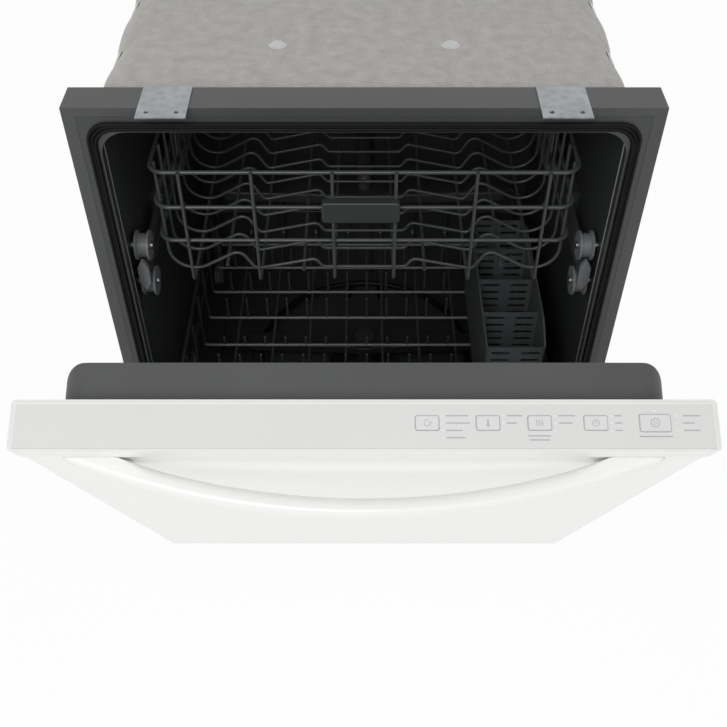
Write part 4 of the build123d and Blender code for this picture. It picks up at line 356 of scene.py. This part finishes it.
def back_spot(along, rise):
    """A point on the felt over the back, inside the rounded top corners, and the way it faces."""
    x = blanket_low.x + along * (blanket_high.x - blanket_low.x)
    inset = max(0, BLANKET_CORNER - (x - blanket_low.x), BLANKET_CORNER - (blanket_high.x - x))
    top = blanket_high.z - BLANKET_CORNER + math.sqrt(max(0, BLANKET_CORNER ** 2 - inset ** 2))
    z = blanket_low.z + rise * (top - blanket_low.z)
    return Vector((x, blanket_high.y, z)), Vector((0, 1, 0))


def felt_pad(shape, spot, across, along, studs_across, studs_along):
    """A closed pad over a surface, pulled in at a grid of studs and swollen between them."""
    points = {}
    for i in range(across + 1):
        for j in range(along + 1):
            point, out = spot(i / across, j / along)
            wave_across = math.cos(math.pi * studs_across * i / across)
            wave_along = math.cos(math.pi * studs_along * j / along)
            pull = abs(wave_across * wave_along) ** DENT_SHARPNESS
            points[i, j, 1] = shape.verts.new(point - out * STUD_DENT * pull)
            points[i, j, 0] = shape.verts.new(point - out * FELT_THICKNESS)
    for i in range(across):
        for j in range(along):
            for level in (0, 1):
                square = ((i, j), (i + 1, j), (i + 1, j + 1), (i, j + 1))
                shape.faces.new([points[column, row, level] for column, row in square])
    for i in range(across):
        for j in (0, along):
            rim = ((i, j, 0), (i + 1, j, 0), (i + 1, j, 1), (i, j, 1))
            shape.faces.new([points[place] for place in rim])
    for j in range(along):
        for i in (0, across):
            rim = ((i, j, 0), (i, j + 1, 0), (i, j + 1, 1), (i, j, 1))
            shape.faces.new([points[place] for place in rim])


def keep_mesh(name, shape, *materials, smooth=True):
    """Turns a worked mesh's faces outwards and makes it a piece."""
    bmesh.ops.recalc_face_normals(shape, faces=shape.faces)
    for face in shape.faces:
        face.smooth = smooth
    mesh = bpy.data.meshes.new(name)
    shape.to_mesh(mesh)
    shape.free()
    for material in materials:
        mesh.materials.append(material)
    piece = bpy.data.objects.new(name, mesh)
    bpy.context.collection.objects.link(piece)
    return piece


shape = bmesh.new()
felt_pad(shape, arch_spot, AROUND_STEPS, PAD_STEPS, STUD_COLUMNS, STUD_ROWS)
felt_pad(shape, back_spot, PAD_STEPS, PAD_STEPS, STUD_ROWS, STUD_ROWS)
blanket = keep_mesh("sound_blanket", shape, FELT)
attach(blanket, "cabinet")
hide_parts("insulation_blanket")


# Blanket studs: pressed steel washers on pins, one at each place where the felt is pulled in.
# The same tree makes the liner's screws; each head's cross recess is drawn near-black, as painted
# shade.
HEAD_SIDES, CROWN_SHARE, RECESS_SINK = 20, 0.72, 0.46
STUD_RADIUS, STUD_HEIGHT = 11 * MM, 1.6 * MM


def fastener_tree():
    """Heads on points; each point carries the way its head faces."""
    tree = bpy.data.node_groups.new("fasteners", "GeometryNodeTree")
    face = tree.interface
    face.new_socket("Points", in_out="INPUT", socket_type="NodeSocketGeometry")
    for size in ("Head Radius", "Head Height", "Recess Width"):
        face.new_socket(size, in_out="INPUT", socket_type="NodeSocketFloat")
    for finish in ("Head Finish", "Recess Shade"):
        face.new_socket(finish, in_out="INPUT", socket_type="NodeSocketMaterial")
    face.new_socket("Heads", in_out="OUTPUT", socket_type="NodeSocketGeometry")
    given = add_node(tree, "NodeGroupInput").outputs
    crown = add_node(tree, "ShaderNodeMath", {
        0: given["Head Radius"], 1: CROWN_SHARE}, operation="MULTIPLY")
    head = add_node(tree, "GeometryNodeMeshCone", {
        "Vertices": HEAD_SIDES, "Radius Top": crown.outputs[0],
        "Radius Bottom": given["Head Radius"], "Depth": given["Head Height"]})
    bar = add_node(tree, "ShaderNodeCombineXYZ", {
        "X": given["Recess Width"], "Y": given["Head Radius"], "Z": given["Recess Width"]})
    rise = add_node(tree, "ShaderNodeMath", {
        0: given["Recess Width"], 1: -RECESS_SINK, 2: given["Head Height"]},
        operation="MULTIPLY_ADD")
    lift = add_node(tree, "ShaderNodeCombineXYZ", {"Z": rise.outputs[0]})
    slot = add_node(tree, "GeometryNodeMeshCube", {"Size": bar.outputs[0]})
    slots = add_node(tree, "GeometryNodeJoinGeometry")
    for quarter in (0, math.pi / 2):
        turned = add_node(tree, "GeometryNodeTransform", {
            "Geometry": slot.outputs["Mesh"], "Translation": lift.outputs[0],
            "Rotation": (0, 0, quarter)})
        tree.links.new(turned.outputs[0], slots.inputs[0])
    facing = add_node(tree, "GeometryNodeInputNamedAttribute", {
        "Name": "facing"}, data_type="FLOAT_VECTOR")
    turn = add_node(tree, "FunctionNodeAlignRotationToVector", {
        "Vector": facing.outputs["Attribute"]}, axis="Z")
    cut = add_node(tree, "ShaderNodeMath", {
        0: given["Recess Width"], 1: 0.0}, operation="GREATER_THAN")
    kinds = ((head.outputs["Mesh"], "Head Finish", True),
             (slots.outputs[0], "Recess Shade", cut.outputs[0]))
    whole = add_node(tree, "GeometryNodeJoinGeometry")
    for part, finish, shown in kinds:
        spread = add_node(tree, "GeometryNodeInstanceOnPoints", {
            "Points": given["Points"], "Selection": shown, "Instance": part,
            "Rotation": turn.outputs[0]})
        real = add_node(tree, "GeometryNodeRealizeInstances", {"Geometry": spread.outputs[0]})
        done = add_node(tree, "GeometryNodeSetMaterial", {
            "Geometry": real.outputs[0], "Material": given[finish]})
        tree.links.new(done.outputs[0], whole.inputs[0])
    add_node(tree, "NodeGroupOutput", {"Heads": whole.outputs[0]})
    return tree


def grown(name, tree, spots, **inputs):
    """A piece that a geometry tree makes on points, each with the way it faces."""
    mesh = bpy.data.meshes.new(name)
    mesh.from_pydata([tuple(point) for point, way in spots], [], [])
    facing = mesh.attributes.new("facing", "FLOAT_VECTOR", "POINT")
    for place, (point, way) in enumerate(spots):
        facing.data[place].vector = way
    piece = bpy.data.objects.new(name, mesh)
    bpy.context.collection.objects.link(piece)
    return run_tree(piece, tree, inputs)


FASTENERS = fastener_tree()
stud_places = [arch_spot(column / STUD_COLUMNS, row / STUD_ROWS)
               for row in range(1, STUD_ROWS) for column in range(1, STUD_COLUMNS)]
stud_places += [back_spot(column / STUD_ROWS, row / STUD_ROWS)
                for row in range(1, STUD_ROWS) for column in range(1, STUD_ROWS)]
stud_spots = [(place - out * STUD_DENT, out) for place, out in stud_places]
studs = grown("blanket_studs", FASTENERS, stud_spots, **{
    "Head Radius": STUD_RADIUS, "Head Height": STUD_HEIGHT, "Recess Width": 0.0,
    "Head Finish": ZINC})
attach(studs, "cabinet")

# Pumps, water valve, feed pipe and spray arms: glass-filled polypropylene in three greys.
# The filler makes it duller than the tub, with a slightly coarse grain.
PUMP_GREY = moulded_plastic(
    "pump_polypropylene", ("#55575A", "#64666A"), rough=(0.5, 0.65), grain=1.4)
FEED_GREY = moulded_plastic(
    "feed_polypropylene", ("#38393A", "#454648"), rough=(0.45, 0.6), grain=1.2)
ARM_GREY = moulded_plastic(
    "spray_arm_polypropylene", ("#2C2D2E", "#38393A"), rough=(0.4, 0.55), grain=1.2)
dress(PUMP_GREY, "wash_pump", "drain_pump", "water_valve")
dress(FEED_GREY, "water_feed", "middle_feed_tube", "filter_cup")
dress(ARM_GREY, "middle_spray_arm", "lower_spray_arm")


# Heater: a stainless sheathed rod, bent cold to a ring.
# Its heat has turned the drawn sheath dark and dull, with a soft gleam and fine marks.
def drawn_stainless():
    material, tree, shader, place = new_finish("drawn_stainless_steel")
    marks = add_node(tree, "ShaderNodeTexNoise", {
        "Vector": place, "Scale": per_mm(1.5), "Detail": 3})
    two_tone(tree, shader, marks.outputs["Fac"], "#2E2E2F", "#414142")
    roughness_between(tree, shader, marks.outputs["Fac"], low=0.45, high=0.6)
    shader.inputs["Metallic"].default_value = 1.0
    return material


STAINLESS = drawn_stainless()
dress(STAINLESS, "heater_element")

# Racks: welded steel wire, dipped in grey nylon powder, which melts to a smooth thick skin.
# The skin is satin and softens every wire.
# The lower rack's cross wires, which lie on top, are drawn a paler grey: a painted highlight along
# their tops.
NYLON_GREY = moulded_plastic(
    "nylon_wire_coating", ("#484A4B", "#565859"), rough=(0.26, 0.36), grain=2.2, depth=0.08)
dress(NYLON_GREY, "upper_rack", "rack_tines")
RACK_FLOOR = 308.0
HIGHLIGHT_START, HIGHLIGHT_FULL = RACK_FLOOR - 2.5, RACK_FLOOR - 1
HIGHLIGHT_FADE, HIGHLIGHT_END = RACK_FLOOR + 2, RACK_FLOOR + 6


def painted_highlight_nylon():
    material, tree, shader, place = new_finish("painted_highlight_nylon_wire_coating")
    flow = add_node(tree, "ShaderNodeTexNoise", {"Vector": place, "Scale": per_mm(40), "Detail": 4})
    height = add_node(tree, "ShaderNodeSeparateXYZ", {"Vector": place}).outputs["Z"]
    over = add_node(tree, "ShaderNodeMapRange", {
        "Value": height, "From Min": HIGHLIGHT_START * MM, "From Max": HIGHLIGHT_FULL * MM})
    under = add_node(tree, "ShaderNodeMapRange", {
        "Value": height, "From Min": HIGHLIGHT_FADE * MM, "From Max": HIGHLIGHT_END * MM,
        "To Min": 1.0, "To Max": 0.0})
    painted_highlight = add_node(tree, "ShaderNodeMath", {
        0: over.outputs[0], 1: under.outputs[0]}, operation="MULTIPLY")
    highlight_spread = add_node(tree, "ShaderNodeMapRange", {
        "Value": flow.outputs["Fac"], "To Min": 0.6, "To Max": 1.1})
    share = add_node(tree, "ShaderNodeMath", {
        0: painted_highlight.outputs[0], 1: highlight_spread.outputs[0]}, operation="MULTIPLY")
    # Painted highlight: the wires at the rack floor's height mix unevenly towards the paler grey.
    two_tone(tree, shader, share.outputs[0], "#46484A", "#97999A")
    roughness_between(tree, shader, flow.outputs["Fac"], low=0.26, high=0.36)
    relief(tree, shader, flow.outputs["Fac"], depth=0.08, strength=0.3)
    shader.inputs["IOR"].default_value = 1.53
    return material


dress(painted_highlight_nylon(), "lower_rack")

# Rack fittings: hangers, wheels, rollers, rail caps and the front grip, moulded in grey acetal.
# The silverware basket is a polypropylene moulding. All of them are satin, with a fine grain.
ACETAL_GREY = moulded_plastic(
    "acetal_fittings", ("#7A7C7F", "#8A8C8F"), rough=(0.38, 0.5), grain=1.6)
GRIP_GREY = moulded_plastic("grip_acetal", ("#3C3D3E", "#484A4B"), rough=(0.36, 0.48), grain=1.1)
BASKET_GREY = moulded_plastic(
    "basket_polypropylene", ("#5C5F61", "#6B6E70"), rough=(0.42, 0.56), grain=1.2)
dress(ACETAL_GREY, "rack_hangers", "rail_caps", "wheel_brackets",
      *[name for name in nodes if name.startswith(("tub_roller", "rack_wheel"))])
dress(GRIP_GREY, "rack_handle")
dress(BASKET_GREY, "silverware_basket")


# Rails: extruded aluminium, anodised grey, which run between the rollers on the tub's walls.
# Anodising keeps the drawn lines of the extrusion, so the gleam stretches along the rail.
# The lines are drawn coarser than real ones, to show.
ALONG_RAIL = (1.0, 0.02, 1.0)


def anodised_aluminium():
    material, tree, shader, place = new_finish("anodised_aluminium")
    stretched = add_node(tree, "ShaderNodeMapping", {"Vector": place, "Scale": ALONG_RAIL})
    lines = add_node(tree, "ShaderNodeTexNoise", {
        "Vector": stretched.outputs[0], "Scale": per_mm(0.8), "Detail": 2})
    two_tone(tree, shader, lines.outputs["Fac"], "#8B8D8F", "#A6A8AA")
    roughness_between(tree, shader, lines.outputs["Fac"], low=0.3, high=0.42)
    shader.inputs["Metallic"].default_value = 0.85
    return material


dress(anodised_aluminium(), "rack_rails")

# Door: a folded steel pan under white porcelain-like enamel paint.
# The paint is glossy and nearly neutral, with a very faint ripple and a clear top coat.
WHITE_ENAMEL = baked_paint("white_enamel", ("#F1F1EF", "#F5F5F3"), rough=(0.26, 0.32), peel=3.0)
top_coat = WHITE_ENAMEL.node_tree.nodes["Principled BSDF"].inputs
top_coat["Coat Weight"].default_value = 0.35
top_coat["Coat Roughness"].default_value = 0.12
dress(WHITE_ENAMEL, "door_panel")
# The hinge's lowest angle is the closed door, so the door stands open by as much.
hinge = next(joint for joint in frame["joints"] if joint["name"] == "door_hinge")
HINGE = Vector(hinge["pos_m"])
OPEN = math.radians(-hinge["range_deg"][0])
INWARD = Vector((0, math.cos(OPEN), math.sin(OPEN)))
UPWARD = Vector((0, -math.sin(OPEN), math.cos(OPEN)))


def on_door(x, inward, upward):
    """A place on the door, in millimetres from the hinge axis."""
    return HINGE + Vector((x * MM, 0, 0)) + INWARD * inward * MM + UPWARD * upward * MM


# Bow handle: a die-cast bar under the same enamel, screwed to the pan from inside.
# It stands off the panel in one shallow arc, and its inner edge is rounded far more than its face.
FACE_OUT = 63.0
BOW_SPAN, BOW_PROUD, BOW_END = 539.0, 52.0, 5.0
GAP_SPAN, GAP_PROUD = 434.0, 35.0
BOW_TOP, BOW_HEIGHT = 599.0, 30.0
BOW_MID = BOW_TOP - BOW_HEIGHT / 2
FACE_ROUNDING, GAP_ROUNDING, SHARP_EDGE = 6.0, 10.0, 0.4
STATIONS, CORNER_STEPS = 120, 8


def stand_off(x, span, proud):
    """How far an arc of that span and height stands off the panel at a place across."""
    radius = (span ** 2 / 4 + proud ** 2) / (2 * proud)
    return proud - radius + math.sqrt(radius ** 2 - x ** 2)


def bar_ring(x):
    """Depth and height of the points round the bar at one place across."""
    face = stand_off(x, BOW_SPAN, BOW_PROUD)
    gap = max(0.0, stand_off(x, GAP_SPAN, GAP_PROUD))
    shy = FACE_ROUNDING - min(face, FACE_ROUNDING)
    half = BOW_HEIGHT / 2 - FACE_ROUNDING + math.sqrt(FACE_ROUNDING ** 2 - shy ** 2)
    front = min(FACE_ROUNDING, face - 2 * SHARP_EDGE)
    back = max(SHARP_EDGE, GAP_ROUNDING * min(1.0, gap / GAP_ROUNDING))
    corners = ((face, -1, 1, front, 0), (gap, 1, 1, back, 90),
               (gap, 1, -1, back, 180), (face, -1, -1, front, 270))
    points = []
    for edge, side, up, radius, start in corners:
        for step in range(CORNER_STEPS + 1):
            turn = math.radians(start + 90 * step / CORNER_STEPS)
            depth = edge + side * radius + radius * math.cos(turn)
            height = up * (half - radius) + radius * math.sin(turn)
            points.append((depth, height))
    return points


shape = bmesh.new()
bar_rings = []
for station in range(STATIONS + 1):
    x = (BOW_SPAN / 2 - BOW_END) * (2 * station / STATIONS - 1)
    bar_rings.append([shape.verts.new(on_door(x, -FACE_OUT - depth, BOW_MID + height))
                      for depth, height in bar_ring(x)])
for ring, after in zip(bar_rings, bar_rings[1:]):
    for corner in range(len(ring)):
        shape.faces.new((ring[corner], ring[corner - 1], after[corner - 1], after[corner]))
shape.faces.new(bar_rings[0])
shape.faces.new(bar_rings[-1])
bow_handle = keep_mesh("bow_handle", shape, WHITE_ENAMEL)
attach(bow_handle, "door")
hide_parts("door_handle")

# Inner door: a dark grey polypropylene liner, moulded in one piece and screwed to the pan.
# Its plateau passes inside the seal and closes the tub.
LINER_GREY = moulded_plastic(
    "liner_polypropylene", ("#454646", "#4F5050"), rough=(0.42, 0.55), grain=1.0)
dress(LINER_GREY, "door_liner")

# Dispenser: a grey polypropylene housing set into the liner, with a hinged lid.
# It is moulded a shade paler than the liner, with the same satin grain.
DISPENSER_GREY = moulded_plastic(
    "dispenser_polypropylene", ("#6B6D6F", "#777A7C"), rough=(0.4, 0.52), grain=1.1)
dress(DISPENSER_GREY, "dispenser_housing", "dispenser_lid")

# Liner screws: zinc plated steel screws with a cross recess, which hold the liner to the pan.
# They sit in their CAD places, four along each side.
# The cross recess is a near-black bar shape in each head: painted shade.
RECESS_SHADE = moulded_plastic("shaded_recess", ("#0C0C0C", "#121212"), rough=(0.6, 0.7))
LINER_BACK, LINER_FOOT, LINER_LENGTH = -20.0, 30.0, 594.0
SCREW_ACROSS, SCREW_SHARES = 278.0, (0.1, 0.37, 0.63, 0.9)
SCREW_RADIUS, SCREW_HEIGHT, SCREW_RECESS = 4.5 * MM, 0.7 * MM, 0.9 * MM
screw_spots = [(on_door(side * SCREW_ACROSS, LINER_BACK, LINER_FOOT + share * LINER_LENGTH), INWARD)
               for side in (-1, 1) for share in SCREW_SHARES]
liner_screws = grown("liner_screw_heads", FASTENERS, screw_spots, **{
    "Head Radius": SCREW_RADIUS, "Head Height": SCREW_HEIGHT, "Recess Width": SCREW_RECESS,
    "Head Finish": ZINC, "Recess Shade": RECESS_SHADE})
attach(liner_screws, "door")
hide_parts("liner_screws")

# Console: a white gloss ABS strip, moulded to cap the door's top edge.
# A polished mould leaves almost no grain, so it is the glossiest plastic on the machine.
CONSOLE_WHITE = moulded_plastic(
    "white_gloss_abs", ("#EDEDEB", "#F2F2F0"), rough=(0.2, 0.28),
    grain=3.0, depth=0.02, strength=0.1)
dress(CONSOLE_WHITE, "console")

# Overlay and button caps: light grey polyester film, printed on its back and glued down.
# The film has a fine matt emboss, which spreads every highlight.
FILM_GREY = moulded_plastic(
    "printed_polyester_film", ("#E1E1E0", "#E6E6E5"), rough=(0.42, 0.5), grain=0.6, depth=0.02)
dress(FILM_GREY, "console_overlay", *[name for name in nodes if name.startswith("button_")])

# Control board: a green glass epoxy board, fixed under the console, which hides it.
# Its solder mask is a smooth, slightly glossy skin.
SOLDER_MASK = moulded_plastic("solder_mask", ("#1E5A30", "#246A3A"), rough=(0.3, 0.4))
dress(SOLDER_MASK, "control_board")

# Indicator lights: small windows of frosted plastic in the film, over lamps that are off.
# Unlit, they are a little whiter than the film round them.
LENS_WHITE = moulded_plastic(
    "frosted_lens", ("#F2F2F1", "#F7F7F6"), rough=(0.3, 0.36), grain=0.4, depth=0.01)
dress(LENS_WHITE, "indicator_lights")

# Printed marks: outlines round the buttons, a simple sign on each and short bars beside the lights.
# They are screen printed on the film in matt grey ink, and stand a little proud of it.
INK_GREY = moulded_plastic(
    "grey_ink", ("#ABACAD", "#B5B6B7"), rough=(0.5, 0.6), grain=0.4, depth=0.01)
INK_DEPTH = 0.1
FILM_LEVEL, CAP_PROUD = 642.0, 0.6
CONSOLE_MID = -42.5
OUTLINE_INSET, OUTLINE_BEND, OUTLINE_INK = 0.7, 1.2, 0.35
FINE_INK, SIGN_INK, BOLD_INK = 0.5, 0.55, 0.6
ROUND_STEPS, PRINT_BEND_STEPS = 24, 6
# Each button: its place across, length and breadth.
BUTTONS = {1: (53.0, 20.0, 12.8), 2: (104.2, 20.0, 12.8), 3: (147.8, 20.0, 12.8),
           4: (195.0, 20.0, 12.8), 5: (245.0, 26.4, 15.2)}


def stroke(path, width, closed=False):
    """A printed line along a path: its two edges at each point, and whether its ends meet."""
    points = [Vector(point) for point in path]
    last = len(points) - 1
    edges = []
    for place, point in enumerate(points):
        before = points[place - 1] if closed or place else point
        after = points[(place + 1) % len(points)] if closed or place < last else point
        along = (after - before).normalized()
        across = Vector((-along.y, along.x)) * width / 2
        edges.append((point + across, point - across))
    return edges, closed


def arc(x, y, radius, start, end, steps=ROUND_STEPS):
    """Points round part of a circle."""
    turns = [math.radians(start + (end - start) * step / steps) for step in range(steps + 1)]
    return [(x + radius * math.cos(turn), y + radius * math.sin(turn)) for turn in turns]


def circle(x, y, radius, width):
    """A printed ring."""
    last_turn = 360 - 360 / ROUND_STEPS
    return stroke(arc(x, y, radius, 0, last_turn, ROUND_STEPS - 1), width, closed=True)


def rounded_box(x, y, width, height, radius):
    """Points round a rounded rectangle."""
    corners = ((1, 1, 0), (-1, 1, 90), (-1, -1, 180), (1, -1, 270))
    points = []
    for side_x, side_y, start in corners:
        corner_x, corner_y = x + side_x * (width / 2 - radius), y + side_y * (height / 2 - radius)
        points += arc(corner_x, corner_y, radius, start, start + 90, PRINT_BEND_STEPS)
    return points


def printed(name, marks, level, body, ink):
    """Ink of a small thickness on the door's top edge, as a piece that rides on a body."""
    shape = bmesh.new()
    for edges, closed in marks:
        rings = [[shape.verts.new(on_door(point.x, point.y, level + rise))
                  for point, rise in ((left, 0), (right, 0), (right, INK_DEPTH), (left, INK_DEPTH))]
                 for left, right in edges]
        for ring, after in zip(rings, rings[1:] + rings[:1] if closed else rings[1:]):
            for corner in range(4):
                shape.faces.new((ring[corner], ring[corner - 1], after[corner - 1], after[corner]))
        if not closed:
            shape.faces.new(rings[0])
            shape.faces.new(rings[-1])
    piece = keep_mesh(name, shape, ink, smooth=False)
    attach(piece, body)


def button_sign(number, x):
    """A button's sign: a round arrow, a thermometer, waves, a clock or an arrow in a ring."""
    y = CONSOLE_MID
    if number == 1:
        tip = [(x + 1.4, y + 1.1), (x + 2.6, y - 0.5), (x + 3.8, y + 1.1)]
        return [stroke(arc(x, y, 2.6, 60, 360), SIGN_INK), stroke(tip, SIGN_INK)]
    if number == 2:
        stem, bulb = [(x, y - 0.6), (x, y + 3.2)], (x, y - 1.8)
        return [stroke(stem, 1.1), circle(*bulb, 0.9, 0.8)]
    if number == 3:
        wave = [(0.5 * math.sin(step), y - 2.8 + step * 0.93) for step in range(7)]
        places = (x - 2.2, x, x + 2.2)
        return [stroke([(place + sway, rise) for sway, rise in wave], SIGN_INK) for place in places]
    if number == 4:
        hands = [(x, y + 1.9), (x, y), (x + 1.4, y)]
        return [circle(x, y, 2.8, FINE_INK), stroke(hands, FINE_INK)]
    arrow = [(x - 1.0, y - 1.7), (x + 1.9, y), (x - 1.0, y + 1.7)]
    return [circle(x, y, 3.6, BOLD_INK), stroke(arrow, BOLD_INK, closed=True)]


for number, (x, length, breadth) in BUTTONS.items():
    size = (length - OUTLINE_INSET, breadth - OUTLINE_INSET)
    outline = rounded_box(x, CONSOLE_MID, *size, OUTLINE_BEND)
    marks = [stroke(outline, OUTLINE_INK, closed=True)] + button_sign(number, x)
    button = f"button_{number}"
    printed(f"{button}_print", marks, FILM_LEVEL + CAP_PROUD, button, INK_GREY)

# Bars beside the lights, by the place of their column, with the lengths of its rows.
# Bars under the buttons, by place across, distance below the middle and length.
BAR_INK, BAR_SETBACK, BAR_PITCH = 0.9, 16.0, 6.3
BESIDE = {53.0: (18.5, 20.0, 13.5, 16.0), 104.2: (13.0, 8.0), 147.8: (14.0, 11.5),
          195.0: (6.0, 6.0, 6.0), 252.5: (15.0, 9.5, 14.0)}
BELOW = ((137.5, 11.0, 19.0), (139.0, 14.5, 17.0), (231.0, 11.6, 28.0))
bars = [(x + BAR_SETBACK, CONSOLE_MID + (1 - row) * BAR_PITCH, length)
        for x, lengths in BESIDE.items() for row, length in enumerate(lengths)]
bars += [(x, CONSOLE_MID - below, length) for x, below, length in BELOW]
bar_marks = [stroke([(x, y), (x + length, y)], BAR_INK) for x, y, length in bars]
printed("overlay_print", bar_marks, FILM_LEVEL, "door", INK_GREY)

# Film border: a line of white ink, printed along the film's back edge and ends.
# It makes the film's grey stop short of the console's rim.
INK_WHITE = moulded_plastic(
    "white_ink", ("#EDEDEB", "#F2F2F0"), rough=(0.35, 0.42), grain=0.4, depth=0.01)
FILM_LENGTH, FILM_BREADTH, FILM_CENTRE = 593.7, 40.1, -44.2
BORDER, BORDER_BEND = 1.9, 2.0
film_end, film_front = (FILM_LENGTH - BORDER) / 2, FILM_CENTRE - FILM_BREADTH / 2
bend_x, bend_y = film_end - BORDER_BEND, FILM_CENTRE + (FILM_BREADTH - BORDER) / 2 - BORDER_BEND
border = [(film_end, film_front)] + arc(bend_x, bend_y, BORDER_BEND, 0, 90, PRINT_BEND_STEPS)
border += arc(-bend_x, bend_y, BORDER_BEND, 90, 180, PRINT_BEND_STEPS) + [(-film_end, film_front)]
printed("film_border", [stroke(border, BORDER)], FILM_LEVEL, "door", INK_WHITE)


# Floor and light: a plain white floor under a pale sky and two soft lamps.
# To the camera and to reflections the floor and the sky are mostly their own white.
# The floor keeps the machine's shadow.
def seen_white(tree):
    """1 for rays from the camera, a mirror or glass, and 0 for the rays that light the object."""
    path = add_node(tree, "ShaderNodeLightPath").outputs
    shiny = add_node(tree, "ShaderNodeMath", {
        0: path["Is Glossy Ray"], 1: path["Is Transmission Ray"]}, operation="MAXIMUM")
    seen = add_node(tree, "ShaderNodeMath", {
        0: path["Is Camera Ray"], 1: shiny.outputs[0]}, operation="MAXIMUM")
    return seen.outputs[0]


FLOOR_SIZE = 6
# The floor's share of its own white and the sky's strength: as seen, and as they light the machine.
FLOOR_WHITE, FLOOR_GLOW = 0.96, 0.62
SKY_WHITE, SKY_LIGHT = 1.0, 0.48
LAMP_AIM = (0, -0.1, 0.5)
shape = bmesh.new()
bmesh.ops.create_grid(shape, x_segments=1, y_segments=1, size=FLOOR_SIZE)
floor_finish, floor_tree, floor_shader, _ = new_finish("white_floor")
floor_shader.inputs["Base Color"].default_value = linear("#F4F4F4")
floor_shader.inputs["Roughness"].default_value = 0.9
white = add_node(floor_tree, "ShaderNodeEmission", {"Strength": 1.0})
share = add_node(floor_tree, "ShaderNodeMapRange", {
    "Value": seen_white(floor_tree), "To Min": FLOOR_GLOW, "To Max": FLOOR_WHITE})
both = add_node(floor_tree, "ShaderNodeMixShader", {
    0: share.outputs[0], 1: floor_shader.outputs[0], 2: white.outputs[0]})
floor_tree.links.new(both.outputs[0], floor_tree.nodes["Material Output"].inputs["Surface"])
floor = keep_mesh("floor", shape, floor_finish, smooth=False)

world = bpy.data.worlds.new("studio")
bpy.context.scene.world = world
world.use_nodes = True
sky = world.node_tree.nodes["Background"]
sky.inputs["Color"].default_value = (1, 1, 1, 1)
sky_level = add_node(world.node_tree, "ShaderNodeMapRange", {
    "Value": seen_white(world.node_tree), "To Min": SKY_LIGHT, "To Max": SKY_WHITE})
world.node_tree.links.new(sky_level.outputs["Result"], sky.inputs["Strength"])


def soft_lamp(name, place, aim, size, power):
    """A large square lamp that looks at a point."""
    lamp = bpy.data.lights.new(name, "AREA")
    lamp.size = size
    lamp.energy = power
    holder = bpy.data.objects.new(name, lamp)
    holder.location = place
    holder.rotation_euler = (Vector(aim) - Vector(place)).to_track_quat("-Z", "Y").to_euler()
    bpy.context.collection.objects.link(holder)


soft_lamp("key", (-0.6, -2.1, 2.2), LAMP_AIM, size=1.2, power=23)
soft_lamp("fill", (0.8, -2.0, 2.3), LAMP_AIM, size=1.6, power=5)

# Camera: stands in front of the machine, above its top, and looks down at 45.7 degrees.
# Its lens and place were fitted to the edges of the front frame, the console and the door.
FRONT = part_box("front_frame")[0][1]
IMAGE, SENSOR = 727, 36
FOCAL_PIXELS, CENTRE_PIXELS = 972.97, -0.7
STANDS_OFF, EYE_HEIGHT, LOOKS_DOWN = 0.85594, 1.37662, 45.723
camera = bpy.data.cameras.new("camera")
camera.sensor_width = SENSOR
camera.lens = FOCAL_PIXELS / IMAGE * SENSOR
camera.shift_x = CENTRE_PIXELS / IMAGE
viewer = bpy.data.objects.new("camera", camera)
viewer.location = (0, FRONT - STANDS_OFF, EYE_HEIGHT)
viewer.rotation_euler = (math.radians(90 - LOOKS_DOWN), 0, 0)
bpy.context.collection.objects.link(viewer)
bpy.context.scene.camera = viewer
bpy.context.scene.view_settings.view_transform = "Standard"
